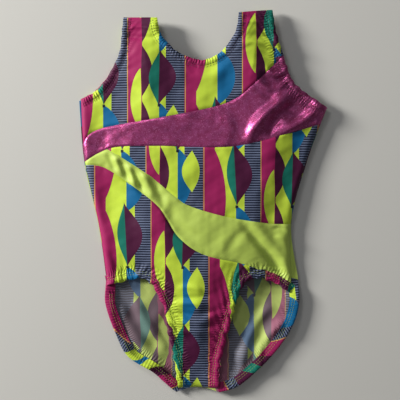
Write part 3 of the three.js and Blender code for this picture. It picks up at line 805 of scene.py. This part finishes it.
# each: centre across and up, reach to the left and right, half height, lean, fullness, colour;
# fullness 1 is a lens, 2 an ogee leaf with drawn-out tips, 0 a straight column
motifs = [
    (60, 0, -11, 8, 66, 0, 0, "hatch"),
    (128, 0, -14, 8, 66, 0, 0, "hatch"),
    (11, 0, -11, 3, 66, 0, 0, "magenta"),
    (13, 2, -1, 14, 60, 0, 0.9, "magenta"),
    (78, 0, -10, 8, 66, 0, 0, "magenta"),
    (86, 34, -1, 12, 30, 0, 1.1, "plum"),
    (86, -33, -1, 10, 31, 0, 1.1, "plum"),
    (84, 1, -12, 1, 36, 0, 0.8, "lime"),
    (39, -39, 0, 21, 33, 0, 0.75, "blue"),
    (38, 32, 0, 20, 39, -2, 1.6, "plum"),
    (38, 32, -10, 0, 39, -2, 1.6, "teal"),
    (106, -40, 0, 17, 36, 0, 0.75, "blue"),
    (106, 26, 0, 20, 34, 1, 1.6, "plum"),
    (106, 26, -12, 0, 34, 1, 1.6, "teal"),
    (123, -31, -12, 9, 25, 0, 1.2, "lime"),
    (1.0, 0, -0.5, 0.5, 66, 0, 0, "amber"),
    (68.5, 0, -0.5, 0.5, 66, 0, 0, "amber"),
    (40, -7, -1.7, 1.7, 1.6, 0, 0, "navy"),
    (106, -7, -1.7, 1.7, 1.6, 0, 0, "navy"),
]


def printColour(tree):
    # upright leaves, lenses, columns and hatching in a half-drop repeat, drawn from the place on the cut cloth
    place = addNode(tree, "UVMap", uv_map="cut")
    inMillimetres = addNode(tree, "VectorMath", {0: place, 3: metre}, operation="SCALE")
    apart = addNode(tree, "SeparateXYZ", {0: inMillimetres}).node
    x, y = apart.outputs[0], apart.outputs[1]
    up, over = printCloth["repeatUp"], printCloth["repeatAcross"]
    rules = addNode(tree, "Math", {0: y, 1: 1 / printCloth["rulePitch"]}, operation="MULTIPLY")
    rules = addNode(tree, "Math", {0: rules}, operation="FRACT")
    rules = addNode(tree, "Math", {0: rules, 1: printCloth["ruleShare"]}, operation="GREATER_THAN")
    inks = {name: linear(code) for name, code in printCloth.items() if isinstance(code, str)}
    inks["hatch"] = addNode(
        tree, "Mix", {"Factor": rules, 6: inks["navy"], 7: inks["slate"]}, 2, data_type="RGBA"
    )
    # every second repeat stands half a repeat higher
    step = addNode(tree, "Math", {0: x, 1: 1 / over}, operation="MULTIPLY")
    step = addNode(tree, "Math", {0: step}, operation="FLOOR")
    height = addNode(tree, "Math", {0: step, 1: up / 2, 2: y}, operation="MULTIPLY_ADD")
    colour = inks["ground"]
    for cx, cy, left, right, tall, lean, full, ink in motifs:
        # t runs from -1 to 1 up the motif, and its edges stand off its middle by the power "full" of 1 - t squared
        t = addNode(tree, "Math", {0: height, 1: cy + up / 2, 2: cy - up / 2}, operation="WRAP")
        t = addNode(tree, "Math", {0: t, 1: 1 / tall, 2: -cy / tall}, operation="MULTIPLY_ADD")
        room = addNode(tree, "Math", {0: t, 1: t}, operation="MULTIPLY")
        room = addNode(tree, "Math", {0: 1.0, 1: room}, operation="SUBTRACT", use_clamp=True)
        room = addNode(tree, "Math", {0: room, 1: full}, operation="POWER" if full > 0 else "CEIL")
        off = addNode(tree, "Math", {0: t, 1: -lean, 2: x}, operation="MULTIPLY_ADD")
        off = addNode(tree, "Math", {0: off, 1: cx + over / 2, 2: cx - over / 2}, operation="WRAP")
        off = addNode(tree, "Math", {0: off, 1: cx}, operation="SUBTRACT")
        sides = [addNode(tree, "Math", {0: room, 1: reach}, operation="MULTIPLY") for reach in (right, left)]
        inside = addNode(tree, "Math", {0: off, 1: sides[0]}, operation="LESS_THAN")
        past = addNode(tree, "Math", {0: off, 1: sides[1]}, operation="GREATER_THAN")
        inside = addNode(tree, "Math", {0: inside, 1: past}, operation="MULTIPLY")
        colour = addNode(tree, "Mix", {"Factor": inside, 6: colour, 7: inks[ink]}, 2, data_type="RGBA")
    return colour, place


def gatherNormal(tree):
    # fine puckers, 3 mm apart, that the zigzag stitch draws up along a hem and that fade into the panel
    hem = addNode(tree, "UVMap", uv_map="gather")
    apart = addNode(tree, "SeparateXYZ", {0: hem}).node
    wander = addNode(tree, "TexNoise", {"Vector": hem, "Scale": 90.0, "Detail": 1.0})
    turn = addNode(
        tree, "Math", {0: apart.outputs[0], 1: metre * 2 * math.pi / 3.1, 2: 0.0}, operation="MULTIPLY_ADD"
    )
    turn = addNode(tree, "Math", {0: wander, 1: 14.0, 2: turn}, operation="MULTIPLY_ADD")
    wave = addNode(tree, "Math", {0: turn}, operation="SINE")
    fade = addNode(tree, "MapRange", {0: apart.outputs[1], 1: 0.009, 2: 0.02, 3: 1.0, 4: 0.0})
    past = addNode(tree, "MapRange", {0: apart.outputs[1], 1: 0.007, 2: 0.0095, 3: 0.0, 4: 1.0})
    height = addNode(tree, "Math", {0: wave, 1: fade}, operation="MULTIPLY")
    height = addNode(tree, "Math", {0: height, 1: past}, operation="MULTIPLY")
    return addNode(tree, "Bump", {"Strength": 1.0, "Distance": 0.0004, "Height": height})


def knitBump(tree, shader, place, strength, distance):
    # fine wales of the knit, as rows of loops; the real pitch of 0.5 mm is drawn as 1 mm so that it shows
    scaled = addNode(tree, "Mapping", {0: place, 3: (metre, metre / 0.8, 1)})
    wales = addNode(tree, "TexWave", {0: scaled, 1: 0.32, 2: 0.6}, 1, wave_type="BANDS", bands_direction="X")
    grain = addNode(tree, "TexNoise", {"Vector": scaled, "Scale": 1.4, "Detail": 3.0})
    height = addNode(tree, "Mix", {"Factor": 0.45, 2: wales, 3: grain})
    bump = addNode(
        tree, "Bump",
        {"Strength": strength, "Distance": distance, "Height": height, "Normal": gatherNormal(tree)},
    )
    tree.links.new(bump, shader.inputs["Normal"])


def soften(tree, colour, place, amount):
    # slow unevenness of dye and stretch, some 17 mm across
    noise = addNode(tree, "TexNoise", {"Vector": place, "Scale": 60, "Detail": 4.0})
    shade = addNode(tree, "MapRange", {0: noise, 1: 0.3, 2: 0.7, 3: 1 - amount, 4: 1 + amount})
    return addNode(tree, "VectorMath", {0: colour, 3: shade}, operation="SCALE")


def printedSpandex(name, washed):
    # sublimation-printed nylon and elastane tricot: clear colours with a low satin sheen, paler on its wrong side
    material, tree, shader = startMaterial(name)
    colour, place = printColour(tree)
    if washed:
        colour = addNode(
            tree, "Mix", {"Factor": 0.4, 6: colour, 7: linear("#8C878B")}, 2, data_type="RGBA"
        )
    colour = soften(tree, colour, place, 0.06)
    tree.links.new(colour, shader.inputs["Base Color"])
    shader.inputs["Roughness"].default_value = 0.65 if washed else 0.55
    shader.inputs["IOR"].default_value = 1.4
    shader.inputs["Specular IOR Level"].default_value = 0.3
    shader.inputs["Sheen Weight"].default_value = 0.03
    knitBump(tree, shader, place, 0.25, 0.00025)
    return material


def plainSpandex(name, code, roughness):
    # piece-dyed matte tricot: soft, even, a little lighter where it catches light along the fibres
    material, tree, shader = startMaterial(name)
    place = addNode(tree, "UVMap", uv_map="cut")
    colour = soften(tree, linear(code)[:3], place, 0.07)
    tree.links.new(colour, shader.inputs["Base Color"])
    shader.inputs["Roughness"].default_value = roughness
    shader.inputs["IOR"].default_value = 1.5
    shader.inputs["Sheen Weight"].default_value = 0.08
    knitBump(tree, shader, place, 0.3, 0.0003)
    return material


def foilSpandex(name):
    # tricot with a metallised film in tiny flakes: a dark pink that glitters where it turns to the light, and some
    # flakes are also painted light pink in the colour as painted glints
    material, tree, shader = startMaterial(name)
    place = addNode(tree, "UVMap", uv_map="cut")
    flakes = addNode(tree, "TexVoronoi", {"Vector": place, "Scale": 1100.0}, 1, feature="F1")
    pick = addNode(tree, "SeparateColor", {0: flakes}).node
    cloud = addNode(tree, "TexNoise", {"Vector": place, "Scale": 150.0, "Detail": 5.0})
    cloud = addNode(tree, "MapRange", {0: cloud, 1: 0.35, 2: 0.65, 3: 0.0, 4: 0.45})
    colour = addNode(
        tree, "Mix", {"Factor": cloud, 6: linear("#983868"), 7: linear("#BC5A9A")}, 2, data_type="RGBA"
    )
    # painted glints: about a fifth of the flakes are mixed towards light pink in the base colour, and they stay bright
    # under any light
    paintedGlints = addNode(tree, "MapRange", {0: pick.outputs[0], 1: 0.8, 2: 1.0, 3: 0.0, 4: 0.42})
    colour = addNode(
        tree, "Mix", {"Factor": paintedGlints, 6: colour, 7: linear("#E58AC8")}, 2, data_type="RGBA"
    )
    tree.links.new(colour, shader.inputs["Base Color"])
    rough = addNode(tree, "MapRange", {0: pick.outputs[1], 1: 0.0, 2: 1.0, 3: 0.27, 4: 0.43})
    tree.links.new(rough, shader.inputs["Roughness"])
    shader.inputs["Metallic"].default_value = 0.72
    bump = addNode(
        tree, "Bump",
        {"Strength": 0.18, "Distance": 0.0003, "Height": pick.outputs[2], "Normal": gatherNormal(tree)},
    )
    tree.links.new(bump, shader.inputs["Normal"])
    return material


def sewingThread(name, code):
    # spun polyester thread: matte, a little fuzzy
    material, tree, shader = startMaterial(name)
    place = addNode(tree, "TexCoord", out=3)
    twist = addNode(tree, "TexNoise", {"Vector": place, "Scale": 2500.0, "Detail": 2.0})
    shade = addNode(tree, "MapRange", {0: twist, 1: 0.3, 2: 0.7, 3: 0.85, 4: 1.1})
    colour = addNode(tree, "VectorMath", {0: linear(code)[:3], 3: shade}, operation="SCALE")
    tree.links.new(colour, shader.inputs["Base Color"])
    shader.inputs["Roughness"].default_value = 0.75
    shader.inputs["Sheen Weight"].default_value = 0.3
    return material


printRight = printedSpandex("printedSpandexRight", False)
printWrong = printedSpandex("printedSpandexWrong", True)
limeRight = plainSpandex("limeSpandex", "#AFC653", 0.55)
limeWrong = plainSpandex("limeSpandexWrong", "#A9B878", 0.7)
foilRight = foilSpandex("foilSpandex")
foilWrong = plainSpandex("foilSpandexWrong", "#B58AA4", 0.7)
liningKnit = plainSpandex("liningTricot", "#DDD9D2", 0.75)
rubberKnit = plainSpandex("braidedElastic", "#E9E5DA", 0.7)
limeThread = sewingThread("polyesterThreadLime", "#94A83E")
plumThread = sewingThread("polyesterThreadPlum", "#3E1434")
print("materials made")


# the panels

cloth = {}
# where each panel was cut from the printed length; the back is seen from its inside, so its print runs the other way
cutShift = {"frontYoke": (22, 78), "frontWaist": (0, 0), "frontHips": (-6, 6)}
backShift = (31, 40)
printed = [printRight, printWrong], "print_spandex"
foiled = [foilRight, foilWrong], "foil_spandex"
limed = [limeRight, limeWrong], "lime_spandex"
for name, node, (sides, slot) in [
    ("frontYoke", "front_yoke", printed),
    ("frontMetallicBand", "front_metallic_band", foiled),
    ("frontWaist", "front_waist_panel", printed),
    ("frontLimeBand", "front_lime_band", limed),
    ("frontHips", "front_hip_panel", printed),
    ("backYoke", "back_yoke", printed),
    ("backMetallicBand", "back_metallic_band", foiled),
    ("backWaist", "back_waist_panel", printed),
    ("backLimeBand", "back_lime_band", limed),
    ("backSeat", "back_seat_panel", printed),
]:
    behind = name.startswith("back")
    height, across = (backUnder, [-1, 1]) if behind else (frontTop, [1, 1])
    shift = backShift if behind else cutShift.get(name, (0, 0))
    sheets = [(raised(grid, height), grid * across + shift) for grid in grids[name]]
    cloth[name] = makePiece(name, sheets, sides, [node], lie["fabric"], flip=behind)
print("panels made")


# hems, elastics, seams and stitches

def stations(curve, start, end, step, side=1):
    # points, unit tangents, unit normals to one side and arc lengths along a stretch, in even steps
    length = lengths(curve)[-1]
    count = max(3, round((end - start) * length / step))
    at = np.linspace(start, end, count)
    p = along(curve, at)
    ahead, behind = along(curve, np.clip(at + 0.004, 0, 1)), along(curve, np.clip(at - 0.004, 0, 1))
    tangent = (ahead - behind) / np.linalg.norm(ahead - behind, axis=1)[:, None]
    return p, tangent, np.stack([-tangent[:, 1], tangent[:, 0]], axis=1) * side, at * length


hem = {
    "step": 0.75,  # mm between stations
    "lift": 0.42,  # the double layer stands above the single cloth
    "shell": 0.45,
    "rib": 0.27,  # height of the fine gathers, which the elastic draws up
    "ribPitch": 3.1,
    "stitchDepth": 5.4,
    "stitchRows": (0.0, 2.6),
    "neckPull": 0.4,  # the neckline is hardly stretched
}
# distance from the edge and height of the hem's outer face: its top, then round the fold to the raw edge inside
overProfile = np.array([
    (10.6, -0.5), (9.7, 0.0), (8.9, 0.36), (7.6, 0.42), (6.4, 0.42), (5.2, 0.42), (4, 0.42), (2.8, 0.42),
    (1.8, 0.42), (0.9, 0.34), (0.3, 0.16),
])
turnProfile = np.array([
    (-0.1, 0.0), (-0.4, -0.2), (-0.6, -0.7), (-0.6, -1.4), (-0.3, -2.0), (0.4, -2.35), (2, -2.4),
    (4.5, -2.45), (7, -2.4), (9.5, -2.35), (11, -2.2),
])


def longer(curve, start, end):
    # the curve run on in a straight line at its ends
    first, last = curve[0] - curve[8], curve[-1] - curve[-9]
    first, last = first / np.hypot(*first) * start, last / np.hypot(*last) * end
    return np.concatenate([[curve[0] + first], curve, [curve[-1] + last]])


def hemStrip(curve, side, height, down, shift, start=0.0, end=1.0, pull=1.0):
    # the profile carried along the edge; side is +1 where the cloth lies left of the curve, down is -1 on the back,
    # where only the turned part is made; ribs run across it, one sine whose pitch wanders
    over = overProfile if down > 0 else overProfile[:0]
    profile = np.concatenate([over, turnProfile])
    reach = np.concatenate([over[:, 0], -np.abs(turnProfile[:, 0])])
    p, _, inward, s = stations(curve, start, end, hem["step"], side)
    ends = np.minimum(s, lengths(curve)[-1] - s)
    thin = (0.4 + 0.6 * rounded(ends / 12))[:, None]
    ribs = np.sin(2 * np.pi * s / hem["ribPitch"] + 1.6 * np.sin(s / 13) + 0.9 * np.sin(s / 5.3))
    ribs = pull * hem["rib"] * (0.7 + 0.3 * np.sin(s / 9)) * ribs * rounded(ends / 8)
    xy = p[:, None] + inward[:, None] * profile[None, :, :1]
    inside = p[:, None] + inward[:, None] * np.maximum(profile[None, :, :1], 0.2)
    z = height(inside[..., 0], inside[..., 1]) + down * profile[None, :, 1] * thin + ribs[:, None]
    flat = (p[:, None] + inward[:, None] * reach[None, :, None]) * [down, 1] + shift
    return joined(xy, z), flat, down


def hemPiece(name, strips, materials, slot):
    # the strips of one hem as one piece, each turned so that its faces look out
    sheets = []
    for grid, flat, down in strips:
        # the raw edge's outer face looks down under the front and up on the back
        out = np.cross(grid[5, -2] - grid[5, -3], grid[6, -3] - grid[5, -3])[2]
        turn = -1 if out * down > 0 else 1
        sheets.append((grid[:, ::turn], flat[:, ::turn]))
    return makePiece(name, sheets, materials, solid=hem["shell"])


openings = {  # edge of the front and of the back, and on which side of them the cloth lies
    "neck": (edge["frontNeck"], edge["backNeck"], -1),
    "leftArmhole": (edge["leftArmhole"], edge["backLeftArmhole"], -1),
    "rightArmhole": (edge["rightArmhole"], edge["rightArmhole"], 1),
    "leftLeg": (edge["leftLeg"], edge["backLeftLeg"], 1),
    "rightLeg": (edge["rightLeg"], edge["backRightLeg"], 1),
}
elastic = {
    "start": 0.06,  # shares of the opening
    "end": 0.94,
    "step": 1.3,  # mm
    "inner": 9.8,
    "outer": 1.2,
    "thin": 0.05,  # half thickness at its ends
    "thick": 0.35,
    "taper": 18,
    "frontSink": -0.95,
    "backLift": 0.05,
}


def elasticStrip(curve, side, height, sink):
    # a flat band inside the hem, with a closed section that thins towards the side seams
    p, _, inward, s = stations(curve, elastic["start"], elastic["end"], elastic["step"], side)
    across = np.linspace(elastic["outer"], elastic["inner"], 6)
    section = np.stack([np.concatenate([across, across[::-1]]), np.repeat([1.0, -1.0], 6)], axis=1)
    xy = p[:, None] + inward[:, None] * section[None, :, :1]
    full = rounded(np.minimum(s - s[0], s[-1] - s) / elastic["taper"])[:, None]
    thin = mixed(elastic["thin"], elastic["thick"], full)
    up = 1 if sink > 0 else -1
    z = height(xy[..., 0], xy[..., 1]) + sink + up * thin + thin * section[None, :, 1]
    return joined(xy, z), xy


thread = {"length": 1.9, "gap": 1.1, "radius": 0.2, "rings": 5, "around": 6}  # mm


def stitches(paths, name, material):
    # short threads lying on the cloth: each a bent tube of five rings, its ends dipped into the cloth
    rings, around, radius = thread["rings"], thread["around"], thread["radius"]
    share = np.linspace(-0.5, 0.5, rings)[None, :, None]
    angle = np.linspace(0, 2 * np.pi, around, endpoint=False)
    girth = radius * np.array([0.55, 1, 1, 1, 0.55])[None, :, None]
    parts = []
    for curve, side, height, free in paths:
        p, tangent, inward, _ = stations(curve, free, 1 - free, thread["length"] + thread["gap"], side)
        for offset in hem["stitchRows"]:
            middle = p[:, None] + inward[:, None] * (hem["stitchDepth"] + offset)
            middle = middle + tangent[:, None] * thread["length"] * share
            z = height(middle[..., 0], middle[..., 1]) + radius * (1.1 - 7 * np.abs(share[..., 0])**3)
            xy = middle[:, :, None] + inward[:, None, None] * side * (girth * np.cos(angle))[..., None]
            parts.append(joined(xy, z[:, :, None] + girth * np.sin(angle)))
    tubes = np.concatenate(parts)
    count = len(tubes)
    faces = gridFaces(rings, around, 0, True)
    faces = (faces[None] + (np.arange(count) * rings * around)[:, None, None]).reshape(-1, 4)
    mesh = bpy.data.meshes.new(name)
    mesh.from_pydata((settle(tubes.reshape(-1, 3)) / metre).tolist(), [], faces.tolist())
    work = bmesh.new()
    work.from_mesh(mesh)
    bmesh.ops.holes_fill(work, edges=work.edges, sides=around)
    bmesh.ops.recalc_face_normals(work, faces=work.faces)
    work.to_mesh(mesh)
    work.free()
    mesh.polygons.foreach_set("use_smooth", [True] * len(mesh.polygons))
    mesh.materials.append(material)
    piece = placed(name, mesh)
    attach(piece, "root")
    return piece


def cadName(name):
    # leftArmhole becomes left_armhole
    return "".join("_" + letter.lower() if letter.isupper() else letter for letter in name)


backInside = lambda x, y: backUnder(x, y) + lie["fabric"]
hemTop = lambda x, y: frontTop(x, y) + hem["lift"]
backHemTop = lambda x, y: backUnder(x, y) + lie["hemThickness"]
runOn = {"leftLeg": (9, 0), "rightLeg": (0, 9)}  # the back's leg hems run on under the front at the hips
for name, (front, back, side) in openings.items():
    shift = cutShift["frontHips" if "Leg" in name else "frontYoke"]
    start = body["bandOnArmhole"] if name == "rightArmhole" else 0.0
    pull = hem["neckPull"] if name == "neck" else 1.0
    strips = [
        hemStrip(front, side, frontTop, 1, shift, start, pull=pull),
        hemStrip(longer(back, *runOn.get(name, (0, 0))), side, backUnder, -1, backShift, pull=pull),
    ]
    hemPiece(name + "Hem", strips, *printed)
    if start:
        foilStrip = hemStrip(front, side, frontTop, 1, shift, 0.0, start)
        hemPiece("metallicBandHem", [foilStrip], *foiled)
    bands = [
        elasticStrip(front, side, frontTop, elastic["frontSink"]),
        elasticStrip(back, side, backInside, elastic["backLift"]),
    ]
    makePiece(name + "Elastic", bands, [rubberKnit], [cadName(name) + "_elastic"], closed=True)
    runs = [(front, side, hemTop, 0.02), (back, side, backHemTop, 0.05)]
    stitches(runs, name + "Stitches", limeThread if "Leg" in name else plumThread)
print("hems, elastics and stitches made")

allowance = {"step": 2.5, "wave": 0.12, "wavePitch": 2.4, "bandThick": 1.0, "sideThick": 1.2, "frontSink": -1.5}


def bandStrip(curve, start, end, offsets, height, sink, thick):
    # an overlocked allowance: a flat strip beside a seam, closed round its section and slightly wavy
    p, _, inward, s = stations(curve, start, end, allowance["step"])
    near, far = offsets
    section = np.array([(near, thick / 2), (far, thick / 2), (far, -thick / 2), (near, -thick / 2)])
    xy = p[:, None] + inward[:, None] * section[None, :, :1]
    wave = allowance["wave"] * np.sin(2 * np.pi * s / allowance["wavePitch"])[:, None]
    return joined(xy, height(xy[..., 0], xy[..., 1]) + sink + section[None, :, 1] + wave), xy


allowances = []  # name, node, curve, start, end, offsets, height, sink, thickness
for name, curve in seams.items():
    inFront = name in seamsInFront
    node = ("front_" if inFront else "") + cadName(name) + "_seam"
    low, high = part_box(node)
    start, end = shareAtX(curve, low[0] * metre + 2), shareAtX(curve, high[0] * metre - 2)
    over = (frontTop, allowance["frontSink"]) if inFront else (backInside, 0.6)
    allowances.append((name, node, curve, start, end, (-2.5, 2.5), *over, allowance["bandThick"]))
for name, curve, start, end, offsets, thick in [
    ("leftSide", edge["leftSide"], 0.1, 0.9, (1.5, 6), allowance["sideThick"]),
    ("rightSide", edge["rightSide"], 0.1, 0.9, (-6, -1.5), allowance["sideThick"]),
    ("leftShoulder", line(edge["leftOuter"], edge["leftInner"], 30), 0.34, 0.66, (-6, -1.5), allowance["bandThick"]),
    ("rightShoulder", line(edge["rightInner"], edge["rightOuter"], 30), 0.34, 0.66, (-6, -1.5), allowance["bandThick"]),
    ("crotch", line(edge["leftCrotch"], edge["rightCrotch"], 30), 0.34, 0.66, (1.5, 6), allowance["bandThick"]),
]:
    allowances.append((name, cadName(name) + "_seam", curve, start, end, offsets, backInside, 0.75, thick))
for name, node, *strip in allowances:
    colour = limeThread if "lime" in name.lower() else plumThread
    makePiece(name + "Allowance", [bandStrip(*strip)], [colour], [node], closed=True)

# the lining follows the inside of the front between the leg hems
liningCut = {"rows": 50, "columns": 24, "hemRoom": 14, "below": -1.6, "fabric": 0.6}
low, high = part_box("crotch_lining")
leftLeg, rightLeg = acrossAt(edge["leftLeg"][80:]), acrossAt(edge["rightLeg"][:200])
rows = np.linspace(low[1] * metre, high[1] * metre, liningCut["rows"])
left, right = leftLeg(rows) + liningCut["hemRoom"], rightLeg(rows) - liningCut["hemRoom"]
across = np.linspace(left, right, liningCut["columns"], axis=1)
liningGrid = np.stack([across, np.broadcast_to(rows[:, None], across.shape)], axis=-1)
liningSheet = raised(liningGrid, frontTop, liningCut["below"]), liningGrid
lining = makePiece("crotchLining", [liningSheet], [liningKnit], ["crotch_lining"], liningCut["fabric"])
print("seams and lining made")

# the lining joins the cloth pieces; the flat area of each piece's grids is summed, and nothing uses it


cloth["crotchLining"], grids["crotchLining"] = lining, [liningGrid]
for name, piece in cloth.items():
    flat = 0.0
    for g in grids[name]:
        a, b = g[1:, 1:] - g[:-1, :-1], g[1:, :-1] - g[:-1, 1:]
        flat += np.abs(a[..., 0] * b[..., 1] - a[..., 1] * b[..., 0]).sum() / 2

# floor, light and camera

floorMesh = bpy.data.meshes.new("floor")
floorMesh.from_pydata([(-6, -6, 0), (6, -6, 0), (6, 6, 0), (-6, 6, 0)], [], [(0, 1, 2, 3)])
floor = placed("floor", floorMesh)
floor.location.z = -0.0002
paper, tree, shader = startMaterial("pressedPaperBoard")
shader.inputs["Base Color"].default_value = linear("#C9C8C5")
shader.inputs["Roughness"].default_value = 0.8
floorMesh.materials.append(paper)

studio = {
    "window": ((-2.56, 0.98, 0.98), 0.7, 147.0, "#FFFDF6"),
    "glint": ((-0.6, 1.0, 1.05), 0.4, 3.4, "#FFFFFF"),
    "ceiling": ((0.3, -0.2, 2.6), 2.0, 4.0, "#FFFFFF"),
}
for name, (place, size, power, tint) in studio.items():
    lamp = bpy.data.lights.new(name, "AREA")
    lamp.energy, lamp.size, lamp.color = power, size, linear(tint)[:3]
    holder = placed(name, lamp)
    holder.location = place
    holder.rotation_euler = (-Vector(place)).to_track_quat("-Z", "Y").to_euler()
world = bpy.data.worlds.new("studioWorld")
world.use_nodes = True
world.node_tree.nodes["Background"].inputs[0].default_value = linear("#E8EAEC")
world.node_tree.nodes["Background"].inputs[1].default_value = 0.13
bpy.context.scene.world = world

view = {"across": 0.480, "aimX": -0.0036, "aimY": 0.0012, "lens": 85, "sensor": 36}
camera = placed("camera", bpy.data.cameras.new("camera"))
camera.data.lens, camera.data.sensor_width = view["lens"], view["sensor"]
camera.location = (view["aimX"], view["aimY"], view["across"] * view["lens"] / view["sensor"])
bpy.context.scene.camera = camera
bpy.context.scene.view_settings.view_transform = "Standard"

bpy.context.view_layer.update()
